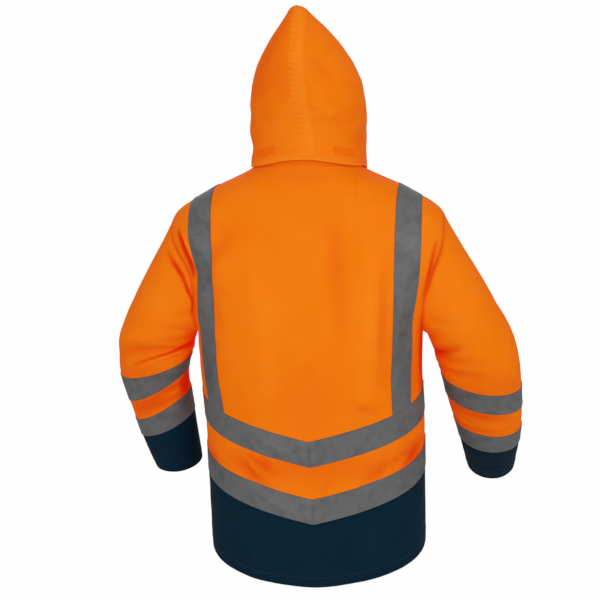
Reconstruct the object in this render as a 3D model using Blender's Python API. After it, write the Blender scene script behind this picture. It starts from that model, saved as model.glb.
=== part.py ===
"""Hooded hi-vis work jacket that hangs open and hollow, as if worn, with its hood up.

Metres, +Z up. The front faces -Y and the wearer's left is +X. The origin is the middle of the neck, level
with the collar seam at the centre back. Every piece of cloth is a closed wall cut from one of three forms:
the body, a sleeve or the hood.
"""

import math

import bpy
import numpy as np

# Cloth
CLOTH = 0.0018  # wall of the coated shell cloth
TAPE = 0.0010  # wall of the reflective tape
GAP = 0.0003  # air between two sewn pieces
TAPE_WIDTH = 0.050

# Body
NECK_HALF = 0.103  # half width of the neck seam at the shoulder line
SHOULDER_DROP = -0.107  # height of the shoulder points
UNDERARM = -0.337  # height of the underarm points
ARMHOLE_BACK = 0.070  # how far the armhole reaches behind the shoulder line
ARMHOLE_FRONT = 0.075
HEM = -0.813
LOWER_TAPE = (-0.682, -0.631)  # lower and upper edge at the centre back
UPPER_TAPE = (-0.567, -0.516)
CHEVRON_RISE = 0.076  # how far a tape climbs from the centre back to the side seam
HEM_RISE = 0.041
NECK_SIDE_DROP = 0.018
NECK_FRONT_DROP = 0.066
COLLAR_BACK = 0.046
COLLAR_FRONT = 0.064
COLLAR_LEAN = 0.10  # how far the back of the collar leans in, as a share of the neck's size
COLLAR_LOWERS = (-0.11, 0.09)  # the collar goes from its front to its back height between these Y
ZIP_HALF = 0.007  # from the centre front to the edge of each front

# Sleeve, by distance from the cuff's end. The cuff ends at the lower tape; the right arm is pushed up more.
SLEEVE_LOWER_TAPE = {"left": (0.110, 0.160), "right": (0.124, 0.174)}
SLEEVE_UPPER_TAPE = {"left": (0.209, 0.259), "right": (0.240, 0.290)}
BICEPS_FROM_ARMHOLE = 0.115
SHOULDER_WAY = (0.42, -0.91)  # how far out and down a sleeve heads where it leaves the shoulder point
UNDERARM_OUT = 0.3  # how far out it heads at the underarm
SHOULDER_PULL, ARM_PULL = 0.7, 0.9  # how long it keeps its way at the armhole and at the biceps

# Hood
HOOD_LIFT = 0.003  # hood's lower edge above the neck seam
HOOD_CLEARANCE = 0.0016
HOOD_NIP = 0.07  # how far the hood is drawn in round the leaning collar, as a share of its half width
HOOD_NIP_AT, HOOD_NIP_REACH = 0.038, 0.018  # height of the nip above the hood's lower edge, and its spread
HOOD_SETTLED = 0.12  # height above which the hood no longer follows the neck seam
BROW = 0.205  # height of the top of the face opening
FACE_HALF = 0.079
FACE_WIDEST = 0.110  # height at which the face opening is widest
CHIN_HALF = 0.052
CHIN = -0.050  # height at which it is narrowest


def table(columns, *rows):
    """The columns of a table by name, each an array with a value for every row."""
    return dict(zip(columns.split(), np.array(rows, float).T))


# Half width, depth behind and before the shoulder line, and squareness of the body's level sections.
BODY = table(
    "z half back front square",
    (-0.850, 0.2200, 0.1545, 0.1550, 2.35),
    (-0.500, 0.2190, 0.1545, 0.1600, 2.35),
    (-0.337, 0.2215, 0.1500, 0.1620, 2.45),
    (-0.275, 0.2330, 0.1420, 0.1580, 2.60),
    (-0.221, 0.2560, 0.1300, 0.1500, 2.60),
    (-0.160, 0.2760, 0.1150, 0.1370, 2.60),
    (-0.107, 0.2590, 0.1030, 0.1240, 2.50),
    (-0.060, 0.1900, 0.0960, 0.1150, 2.30),
    (-0.018, 0.1030, 0.0880, 0.1050, 2.15),
    (0.000, 0.0800, 0.0840, 0.1000, 2.10),
)

# How the skirt of the jacket hangs: turned about the vertical, in degrees, swayed sideways, and how steeply
# its right half rises towards the side.
HANG = table(
    "z turn sway rise",
    (-0.850, 4.0, -0.0095, 0.035),
    (-0.760, 3.8, -0.0085, 0.012),
    (-0.650, 3.5, -0.0075, 0.000),
    (-0.520, 2.0, -0.0060, 0.000),
    (-0.390, 0.0, 0.0000, 0.000),
    (0.000, 0.0, 0.0000, 0.000),
)

# Distance of each brace's inner edge from the middle.
BRACE = table("z inner", (-0.480, 0.160), (-0.350, 0.167), (-0.140, 0.171), (0.000, 0.177))

# Sections of the hood: half width, where it is widest, and reach behind and before that.
HOOD = table(
    "z half middle back front square",
    (0.000, 0.1055, 0.000, 0.090, 0.108, 2.15),
    (0.045, 0.1065, 0.002, 0.092, 0.114, 2.25),
    (0.090, 0.1073, 0.008, 0.097, 0.117, 2.20),
    (0.130, 0.1025, 0.016, 0.099, 0.116, 2.10),
    (0.165, 0.0900, 0.028, 0.099, 0.121, 1.95),
    (0.205, 0.0665, 0.044, 0.083, 0.099, 1.80),
    (0.235, 0.0420, 0.060, 0.058, 0.082, 1.65),
    (0.256, 0.0225, 0.074, 0.032, 0.048, 1.60),
    (0.264, 0.0155, 0.080, 0.022, 0.032, 1.70),
    (0.269, 0.0085, 0.084, 0.012, 0.018, 1.70),
    (0.271, 0.0000, 0.086, 0.005, 0.008, 1.70),
)

# How the hood stands on the neck: turned about the vertical, in degrees, and swayed sideways.
HOOD_POSE = table(
    "z turn sway",
    (0.046, 0.0, 0.0000),
    (0.090, -6.5, -0.0050),
    (0.140, -10.0, -0.0090),
    (0.200, -10.0, -0.0120),
    (0.271, -10.0, -0.0150),
)

# Width and depth of each sleeve by distance from the cuff's end, and how far its inner side is drawn up.
SLEEVE = {
    "left": table(
        "along wide deep drawn",
        (0.000, 0.105, 0.088, 0.000),
        (0.110, 0.126, 0.094, 0.024),
        (0.160, 0.132, 0.096, 0.032),
        (0.209, 0.137, 0.098, 0.037),
        (0.259, 0.150, 0.112, 0.029),
        (0.290, 0.155, 0.122, 0.014),
        (0.340, 0.147, 0.138, 0.000),
        (0.420, 0.141, 0.158, 0.000),
    ),
    "right": table(
        "along wide deep drawn",
        (0.000, 0.103, 0.090, 0.004),
        (0.124, 0.124, 0.096, 0.014),
        (0.174, 0.133, 0.102, 0.020),
        (0.240, 0.146, 0.108, 0.027),
        (0.290, 0.152, 0.120, 0.024),
        (0.350, 0.158, 0.142, 0.000),
        (0.420, 0.145, 0.160, 0.000),
    ),
}

# Middle line of each sleeve below its armhole, down to the cuff's end.
SLEEVE_LINE = {
    "left": table(
        "x y z",
        (0.3225, -0.018, -0.395),
        (0.3265, -0.036, -0.456),
        (0.3215, -0.064, -0.543),
        (0.3110, -0.104, -0.660),
    ),
    "right": table(
        "x y z",
        (-0.3300, -0.018, -0.404),
        (-0.3410, -0.041, -0.472),
        (-0.3570, -0.097, -0.575),
        (-0.3670, -0.184, -0.676),
    ),
}

# Largest folds of the body, as straight lines over the back or front seen square on.
BODY_FOLDS = table(
    "face x z to_x to_z width depth",
    (1, 0.125, -0.130, 0.205, -0.205, 0.016, -0.0040),
    (1, 0.185, -0.175, 0.160, -0.330, 0.018, -0.0045),
    (1, -0.060, -0.090, -0.075, -0.330, 0.020, -0.0035),
    (1, -0.135, -0.170, -0.120, -0.430, 0.018, 0.0035),
    (1, 0.080, -0.200, 0.060, -0.440, 0.022, 0.0030),
    (1, -0.205, -0.250, -0.170, -0.400, 0.016, -0.0045),
    (1, 0.150, -0.560, 0.090, -0.610, 0.014, -0.0045),
    (1, -0.150, -0.570, -0.100, -0.600, 0.014, -0.0040),
    (1, 0.110, -0.700, 0.120, -0.810, 0.024, 0.0040),
    (1, -0.060, -0.720, -0.070, -0.810, 0.024, -0.0040),
    (-1, 0.130, -0.150, 0.190, -0.260, 0.018, -0.0045),
    (-1, -0.130, -0.150, -0.195, -0.270, 0.018, -0.0045),
    (-1, 0.090, -0.220, 0.085, -0.460, 0.022, 0.0035),
    (-1, -0.100, -0.240, -0.080, -0.470, 0.022, 0.0035),
    (-1, 0.120, -0.590, 0.090, -0.620, 0.014, -0.0035),
    (-1, -0.100, -0.700, -0.110, -0.800, 0.024, 0.0040),
)

# Largest folds of each sleeve: turn from its outer line, by way of the back, and distance from the cuff.
SLEEVE_FOLDS = {
    "left": table(
        "turn along to_turn to_along width depth",
        (0.02, 0.285, 0.48, 0.335, 0.011, -0.0060),
        (0.20, 0.325, 0.50, 0.365, 0.011, -0.0045),
        (0.05, 0.310, 0.40, 0.350, 0.014, 0.0040),
        (0.55, 0.300, 0.92, 0.290, 0.013, -0.0060),
        (0.10, 0.180, 0.40, 0.165, 0.012, -0.0040),
        (0.55, 0.180, 0.85, 0.185, 0.012, -0.0040),
    ),
    "right": table(
        "turn along to_turn to_along width depth",
        (0.10, 0.300, 0.50, 0.345, 0.013, -0.0050),
        (0.25, 0.350, 0.50, 0.385, 0.012, -0.0045),
        (0.05, 0.290, 0.30, 0.315, 0.014, 0.0035),
        (0.55, 0.310, 0.92, 0.300, 0.013, -0.0060),
        (0.15, 0.175, 0.40, 0.185, 0.012, -0.0040),
        (0.60, 0.180, 0.85, 0.175, 0.012, -0.0040),
    ),
}

# Largest folds of the hood: share of the way from the back seam to the face, and height.
HOOD_FOLDS = table(
    "side share z to_share to_z width depth",
    (-1, 0.10, 0.190, 0.38, 0.135, 0.014, -0.0040),
    (-1, 0.08, 0.105, 0.30, 0.075, 0.013, 0.0040),
    (1, 0.12, 0.060, 0.30, 0.095, 0.013, -0.0035),
    (1, 0.15, 0.200, 0.40, 0.150, 0.014, -0.0030),
)

# Zip slider, its lugs and its pull as level rectangles: height, width, depth and shift along Y.
SLIDER_DEPTH = 0.0036
SLIDER_BELOW_TOP = 0.013  # pull's hinge below the collar's upper edge
PULL_BARREL = 0.0026
PULL_NECK = 0.0044
LUG = 0.0012
LUG_DEPTH = 0.0044
LUG_BEHIND = 0.0008
SLIDER = (
    (-0.0065, 0.0058, 0.0030, 0.0),
    (-0.0050, 0.0070, SLIDER_DEPTH, 0.0),
    (0.0010, 0.0082, SLIDER_DEPTH, 0.0),
    (0.0055, 0.0098, SLIDER_DEPTH, 0.0),
    (0.0068, 0.0086, 0.0028, 0.0),
)
LUGS = (
    (-0.0026, LUG, 0.0026, 0.0008),
    (-0.0012, LUG, LUG_DEPTH, 0.0),
    (0.0012, LUG, LUG_DEPTH, 0.0),
    (0.0026, LUG, 0.0026, 0.0008),
)
PULL = (
    (-0.0300, 0.0052, 0.0010, 0.0),
    (-0.0285, 0.0072, 0.0014, 0.0),
    (-0.0130, 0.0078, 0.0014, 0.0),
    (-0.0095, 0.0070, 0.0012, 0.0),
    (-0.0070, PULL_NECK, 0.0012, 0.0),
    (-0.0016, PULL_NECK, 0.0012, 0.0),
    (-0.0009, PULL_NECK, 0.0021, 0.0),
    (0.0000, PULL_NECK, PULL_BARREL, 0.0),
    (0.0009, PULL_NECK, 0.0021, 0.0),
    (0.0013, PULL_NECK, 0.0010, 0.0),
)

# Columns of the body's grids, as shares of the way to a brace, and how finely the rest is divided.
NECK_SHARES = (0.00, 0.17, 0.33, 0.47, 0.56, 0.625, 0.74, 0.87, 1.00)
NECK_CORNER = 5  # the column that ends where neck and shoulder seams meet
BRACE_STEPS = 2
SIDE_STEPS = 4
ARMHOLE_LOW_STEPS = 5
ARMHOLE_HIGH_STEPS = 7
BODY_ROWS = (-0.480, -0.430, -0.382)  # level rows between the upper tape and the underarm
HOOD_SHARES = (0.0, 0.06, 0.115, 0.17, 0.21, 0.27, 0.335, 0.38, 0.45, 0.54, 0.63, 0.72, 0.81, 0.91, 1.0)
HOOD_GIRTH = 0.35  # about the length of a hood row, from the back seam to the face
HOOK_ROWS = (1, 2)  # where the hook tabs lie on the hood's grid
HOOK_COLUMNS = {"left": (3, 6), "right": (4, 7)}
HOOD_LEVELS = (
    (0.000, 0.0165, 0.0315, 0.052, 0.078, 0.104, 0.128, 0.150, 0.170, 0.187, 0.199)
    + (0.205, 0.224, 0.242, 0.256, 0.266, 0.271)
)
DENSE = 161  # points on the fine curves that the grids are read from


def steady(xs, ys, x):
    """Smooth curve through a table's column that never overshoots it, held flat past both ends."""
    x = np.clip(np.asarray(x, float), xs[0], xs[-1])
    h = np.diff(xs)
    slope = np.diff(ys) / h
    tangent = np.zeros(len(xs))
    same = slope[:-1] * slope[1:] > 0
    w1 = 2 * h[1:] + h[:-1]
    w2 = h[1:] + 2 * h[:-1]
    safe = np.where(same, slope[:-1], 1.0), np.where(same, slope[1:], 1.0)
    tangent[1:-1] = np.where(same, (w1 + w2) / (w1 / safe[0] + w2 / safe[1]), 0.0)
    tangent[0], tangent[-1] = slope[0], slope[-1]
    i = np.clip(np.searchsorted(xs, x, side="right") - 1, 0, len(xs) - 2)
    t = (x - xs[i]) / h[i]
    a = (1 + 2 * t) * (1 - t) ** 2 * ys[i] + t**2 * (3 - 2 * t) * ys[i + 1]
    b = t * (1 - t) ** 2 * h[i] * tangent[i] + t**2 * (t - 1) * h[i] * tangent[i + 1]
    return a + b


def read(form, column, at, key="z"):
    return steady(form[key], form[column], at)


def unit(v):
    return v / np.maximum(np.linalg.norm(v, axis=-1, keepdims=True), 1e-12)


def smooth(t):
    t = np.clip(t, 0.0, 1.0)
    return t * t * (3 - 2 * t)


def along(curve, shares):
    """Points at the given shares of a fine curve's length."""
    run = np.concatenate([[0.0], np.cumsum(np.linalg.norm(np.diff(curve, axis=0), axis=1))])
    wanted = np.asarray(shares) * run[-1]
    return np.stack([np.interp(wanted, run, curve[:, k]) for k in range(3)], axis=1)


def fold_depth(folds, u, v, pick=None):
    """Height of the folds, each a soft ridge or trough about a line from (u, v) to (to_u, to_v)."""
    names = list(folds)
    first, second, third, fourth = names[-6:-2]
    height = np.zeros(np.shape(u))
    for k in range(len(folds["depth"])):
        if pick is not None and folds[names[0]][k] != pick:
            continue
        start = np.array([folds[first][k], folds[second][k]])
        end = np.array([folds[third][k], folds[fourth][k]])
        line = end - start
        share = ((u - start[0]) * line[0] + (v - start[1]) * line[1]) / (line @ line)
        held = np.clip(share, 0.0, 1.0)
        away = np.hypot(u - start[0] - held * line[0], v - start[1] - held * line[1])
        fade = 0.35 + 0.65 * np.sin(math.pi * np.clip(held, 0.02, 0.98))
        height += folds["depth"][k] * fade * np.exp(-((away / folds["width"][k]) ** 2))
    return height


# ---- Body form ----


def body_section(z, face):
    """Half width, depth and squareness of the body at a height; face is 1 behind and -1 in front."""
    depth = read(BODY, "back" if face > 0 else "front", z)
    return read(BODY, "half", z), depth, read(BODY, "square", z)


def section_point(angle, z, face):
    """Point of a level section at an angle from the middle of the back or front, round to the side."""
    half, depth, square = body_section(z, face)
    s, c = np.abs(np.sin(angle)), np.abs(np.cos(angle))
    reach = ((s / half) ** square + (c / depth) ** square) ** (-1 / square)
    return reach * s, face * reach * c


def neck_height(angle, face):
    """Height of the neck seam, from the middle of the back or front (0) round to the shoulder line."""
    side = smooth(angle / (math.pi / 2))
    middle = 0.0 if face > 0 else -NECK_FRONT_DROP
    return middle + (-NECK_SIDE_DROP - middle) * side


def neck_curve(face):
    """Fine curve of the neck seam from the middle to the shoulder line, x from 0 upwards."""
    angle = np.linspace(0.0, math.pi / 2, DENSE)
    z = neck_height(angle, face)
    x, y = section_point(angle, z, face)
    y[-1] = 0.0
    return np.stack([x, y, z], axis=1)


def armhole_middle():
    return (SHOULDER_DROP + UNDERARM) / 2


def armhole_point(angle, face):
    """Point of the armhole at an angle above (+) or below (-) its middle, seen from the side."""
    reach = ARMHOLE_BACK if face > 0 else ARMHOLE_FRONT
    tall = (SHOULDER_DROP - UNDERARM) / 2
    y = reach * math.cos(angle)
    z = armhole_middle() + tall * math.sin(angle)
    if math.cos(angle) < 1e-6:
        return np.array([float(body_section(z, face)[0]), 0.0, z])
    half, depth, square = body_section(z, face)
    x = half * (1 - (y / depth) ** square) ** (1 / square)
    return np.array([float(x), face * y, z])


def level_curve(z, rise, face, power=1.0):
    """Fine level section from the middle to the side seam, climbing by rise on the way."""
    angle = np.linspace(0.0, math.pi / 2, DENSE)
    x, y = section_point(angle, z, face)
    run = np.concatenate([[0.0], np.cumsum(np.hypot(np.diff(x), np.diff(y)))])
    height = z + rise * (run / run[-1]) ** power
    x, y = section_point(angle, height, face)
    y[-1] = 0.0
    return np.stack([x, y, height], axis=1)


def armhole_low_curve(angle, face):
    """Fine level section from the middle to the armhole, below the armhole's middle."""
    end = armhole_point(angle, face)
    last = math.atan2(end[0], abs(end[1]))
    turn = np.linspace(0.0, last, DENSE)
    x, y = section_point(turn, end[2], face)
    curve = np.stack([x, y, np.full(DENSE, end[2])], axis=1)
    curve[-1] = end
    return curve


def fan_curve(share, face):
    """Fine curve from the middle to the armhole, a share of the way up to the shoulder and neck seams."""
    end = armhole_point(share * math.pi / 2, face)
    neck = neck_curve(face)
    corner = neck[-1]
    x = np.concatenate([neck[:, 0], np.linspace(corner[0], end[0], DENSE)[1:]])
    across = x / end[0]
    top_y = np.interp(x, neck[:, 0], np.abs(neck[:, 1]), right=0.0)
    top_z = np.interp(x, neck[:, 0], neck[:, 2], right=corner[2])
    lift = armhole_middle()
    full = np.where(x < corner[0], np.arctan2(top_z - lift, top_y), math.pi / 2)
    tilt = share * full
    # At the very top the armhole's own angle differs from the tilt, so both agree at its end.
    tilt[-1] = math.atan2(end[2] - lift, abs(end[1]))
    blend = across**6
    tilt = tilt * (1 - blend) + tilt[-1] * blend
    near, far = np.full(len(x), 0.01), np.full(len(x), 0.30)
    for _ in range(48):
        reach = (near + far) / 2
        y = reach * np.cos(tilt)
        z = lift + reach * np.sin(tilt)
        half, depth, square = body_section(z, face)
        outside = (x / half) ** square + (np.abs(y) / depth) ** square > 1
        outside |= z > 0.02
        far = np.where(outside, reach, far)
        near = np.where(outside, near, reach)
    curve = np.stack([x, face * near * np.cos(tilt), lift + near * np.sin(tilt)], axis=1)
    if share == 1.0:
        shoulder = x > corner[0]
        curve[~shoulder, 1] = face * top_y[~shoulder]
        curve[~shoulder, 2] = top_z[~shoulder]
        curve[shoulder, 1] = 0.0
    curve[-1] = end
    return curve


def columns(curve, face):
    """A grid row of one side: middle to brace, across the brace, and on to the side seam or armhole."""
    run = np.concatenate([[0.0], np.cumsum(np.linalg.norm(np.diff(curve, axis=0), axis=1))])
    inner = float(read(BRACE, "inner", curve[:, 2].mean()))
    shares = list(NECK_SHARES)
    xs = [share * inner for share in shares]
    xs[NECK_CORNER] = NECK_HALF
    if face < 0:
        xs.insert(1, ZIP_HALF)
    near = np.interp(xs, curve[:, 0], run)
    across = near[-1] + np.linspace(0.0, TAPE_WIDTH, BRACE_STEPS + 1)[1:]
    outer = np.linspace(across[-1], run[-1], SIDE_STEPS + 1)[1:]
    wanted = np.concatenate([near, across, outer])
    return np.stack([np.interp(wanted, run, curve[:, k]) for k in range(3)], axis=1)


def hang(points):
    """Turns, sways and lifts the skirt of the jacket."""
    x, y, z = points[..., 0], points[..., 1], points[..., 2]
    turn = np.radians(read(HANG, "turn", z))
    sway = read(HANG, "sway", z)
    turned = x * np.cos(turn) - y * np.sin(turn) + sway, x * np.sin(turn) + y * np.cos(turn)
    return np.stack([turned[0], turned[1], z + read(HANG, "rise", z) * np.maximum(-x, 0.0)], axis=-1)


def grid_normals(points, wrap=False):
    """Unit normals of a grid, by central differences, not yet turned outwards."""
    if wrap:
        across = np.roll(points, -1, axis=1) - np.roll(points, 1, axis=1)
    else:
        across = np.gradient(points, axis=1)
    return unit(np.cross(across, np.gradient(points, axis=0)))


class Row:
    """Names of the body grid's rows, from the hem up."""

    HEM, HEM_MIDDLE, LOWER_START, LOWER_END, UPPER_START, UPPER_END = range(6)
    UNDERARM = UPPER_END + len(BODY_ROWS) + 1
    TOP = UNDERARM + ARMHOLE_LOW_STEPS + ARMHOLE_HIGH_STEPS


def body_curves(face):
    """The fine curves of the body's rows, from the hem to the shoulder and neck seams."""
    rows = [
        level_curve(HEM, HEM_RISE, face, 1.5),
        level_curve((HEM + LOWER_TAPE[0]) / 2, (HEM_RISE + CHEVRON_RISE) / 2, face, 1.25),
        level_curve(LOWER_TAPE[0], CHEVRON_RISE, face),
        level_curve(LOWER_TAPE[1], CHEVRON_RISE, face),
        level_curve(UPPER_TAPE[0], CHEVRON_RISE, face),
        level_curve(UPPER_TAPE[1], CHEVRON_RISE, face),
    ]
    last = UPPER_TAPE[1]
    for z in BODY_ROWS:
        rise = CHEVRON_RISE * smooth((UNDERARM - z) / (UNDERARM - last)) * 0.9
        rows.append(level_curve(z, float(rise), face))
    for k in range(ARMHOLE_LOW_STEPS):
        angle = -math.pi / 2 * (1 - k / ARMHOLE_LOW_STEPS)
        rows.append(armhole_low_curve(angle, face))
    rows.append(armhole_low_curve(0.0, face))
    for k in range(1, ARMHOLE_HIGH_STEPS + 1):
        rows.append(fan_curve(k / ARMHOLE_HIGH_STEPS, face))
    return rows


def body_grid(face):
    """The whole back (1) or front (-1), side to side, as points and outward normals."""
    half = np.array([columns(curve, face) for curve in body_curves(face)])
    mirrored = half[:, :0:-1] * np.array([-1.0, 1.0, 1.0])
    flat = np.concatenate([mirrored, half], axis=1)
    normals = -face * grid_normals(flat)
    lift = fold_depth(BODY_FOLDS, flat[..., 0], flat[..., 2], face)
    edge = np.ones(flat.shape[1])
    edge[[0, -1]] = 0.0
    edge[[1, -2]] = 0.6
    lift = lift * edge
    lift[-1] = 0.0
    points = hang(flat + normals * lift[..., None])
    return points, -face * grid_normals(points)


class Body:
    """Both halves of the body form, with shared normals where they are sewn together."""

    def __init__(self):
        self.points = {}
        self.normals = {}
        for face in (1, -1):
            self.points[face], self.normals[face] = body_grid(face)
        shoulder = self.middle(1) - NECK_CORNER
        reach = self.points[1].shape[1]
        extra = self.middle(-1) - self.middle(1)
        for column in (0, reach - 1):
            other = 0 if column == 0 else reach - 1 + 2 * extra
            self.share(slice(0, Row.UNDERARM + 1), column, other)
        for column in range(shoulder + 1):
            self.share(Row.TOP, column, column)
            self.share(Row.TOP, reach - 1 - column, reach - 1 + 2 * extra - column)

    def middle(self, face):
        return self.points[face].shape[1] // 2

    def share(self, rows, back, front):
        joint = unit(self.normals[1][rows, back] + self.normals[-1][rows, front])
        self.normals[1][rows, back] = joint
        self.normals[-1][rows, front] = joint
        self.points[-1][rows, front] = self.points[1][rows, back]

    def armhole(self, side):
        """Closed ring of the armhole from the shoulder point down the back and up the front."""
        column = -1 if side > 0 else 0
        rows = slice(Row.UNDERARM, Row.TOP + 1)
        back = self.points[1][rows, column][::-1]
        front = self.points[-1][rows, column][1:-1]
        return np.concatenate([back, front])

    def set_armhole_normals(self, side, normals):
        column = -1 if side > 0 else 0
        count = Row.TOP - Row.UNDERARM + 1
        back = normals[:count][::-1]
        self.normals[1][Row.UNDERARM : Row.TOP + 1, column] = back
        self.normals[-1][Row.UNDERARM + 1 : Row.TOP, column] = normals[count:]
        self.normals[-1][Row.UNDERARM, column] = back[0]
        self.normals[-1][Row.TOP, column] = back[-1]

    def armhole_normals(self, side):
        column = -1 if side > 0 else 0
        rows = slice(Row.UNDERARM, Row.TOP + 1)
        back = self.normals[1][rows, column][::-1]
        front = self.normals[-1][rows, column][1:-1]
        return np.concatenate([back, front])


# ---- Walls ----


def trimmed(points, edges, amount=GAP / 2):
    """Moves the named edges of a grid inwards along the cloth by half a seam's gap."""
    moved = points.copy()
    if "bottom" in edges:
        moved[0] += unit(points[1] - points[0]) * amount
    if "top" in edges:
        moved[-1] += unit(points[-2] - points[-1]) * amount
    if "left" in edges:
        moved[:, 0] += unit(points[:, 1] - points[:, 0]) * amount
    if "right" in edges:
        moved[:, -1] += unit(points[:, -2] - points[:, -1]) * amount
    return moved


def wall(name, outer, normals, thickness, finish, wrap=False):
    """Makes a closed wall of cloth between a grid and its copy moved inwards."""
    rows, count = outer.shape[:2]
    inner = outer - normals * thickness
    points = np.concatenate([outer.reshape(-1, 3), inner.reshape(-1, 3)])
    index = np.arange(rows * count).reshape(rows, count)
    shift = rows * count
    spans = count if wrap else count - 1
    faces = []
    for i in range(rows - 1):
        for j in range(spans):
            k = (j + 1) % count
            a, b, c, d = index[i, j], index[i, k], index[i + 1, k], index[i + 1, j]
            # One diagonal everywhere, so that a tape's facets lie along its panel's.
            for triangle in ((a, b, c), (a, c, d)):
                faces.append(triangle)
                faces.append(tuple(corner + shift for corner in triangle[::-1]))
    for j in range(spans):
        k = (j + 1) % count
        for row, flip in ((0, True), (rows - 1, False)):
            a, b = index[row, j], index[row, k]
            rim = (a, b, b + shift, a + shift)
            faces.append(rim[::-1] if flip else rim)
    if not wrap:
        for i in range(rows - 1):
            for column, flip in ((0, False), (count - 1, True)):
                a, b = index[i, column], index[i + 1, column]
                rim = (a, b, b + shift, a + shift)
                faces.append(rim[::-1] if flip else rim)
    a, b, c = points[index[0, 0]], points[index[0, 1]], points[index[1, 0]]
    if np.cross(b - a, c - a) @ normals[0, 0] < 0:
        faces = [face[::-1] for face in faces]
    if edges_disagree(faces):
        raise ValueError(name + " has faces that disagree")
    return solid(name, points, faces, finish)


def edges_disagree(faces):
    """True when two faces run along one edge in the same direction."""
    seen = set()
    for face in faces:
        for a, b in zip(face, face[1:] + face[:1]):
            if (a, b) in seen:
                return True
            seen.add((a, b))
    return False


def solid(name, points, faces, finish):
    mesh = bpy.data.meshes.new(name)
    mesh.from_pydata([tuple(map(float, p)) for p in points], [], [tuple(map(int, f)) for f in faces])
    mesh.update()
    mesh.shade_smooth()
    mesh.set_sharp_from_angle(angle=math.radians(40))
    mesh.materials.append(finish)
    obj = bpy.data.objects.new(name, mesh)
    bpy.context.scene.collection.objects.link(obj)
    return obj


def tape(name, points, normals, finish, edges="bottom top left right"):
    """Lays a strip of tape on a panel's own points."""
    outer = trimmed(points, edges) + normals * (GAP + TAPE)
    return wall(name, outer, normals, TAPE, finish)


# ---- Sleeves ----


def sleeve_sign(side):
    return 1.0 if side == "left" else -1.0


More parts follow.
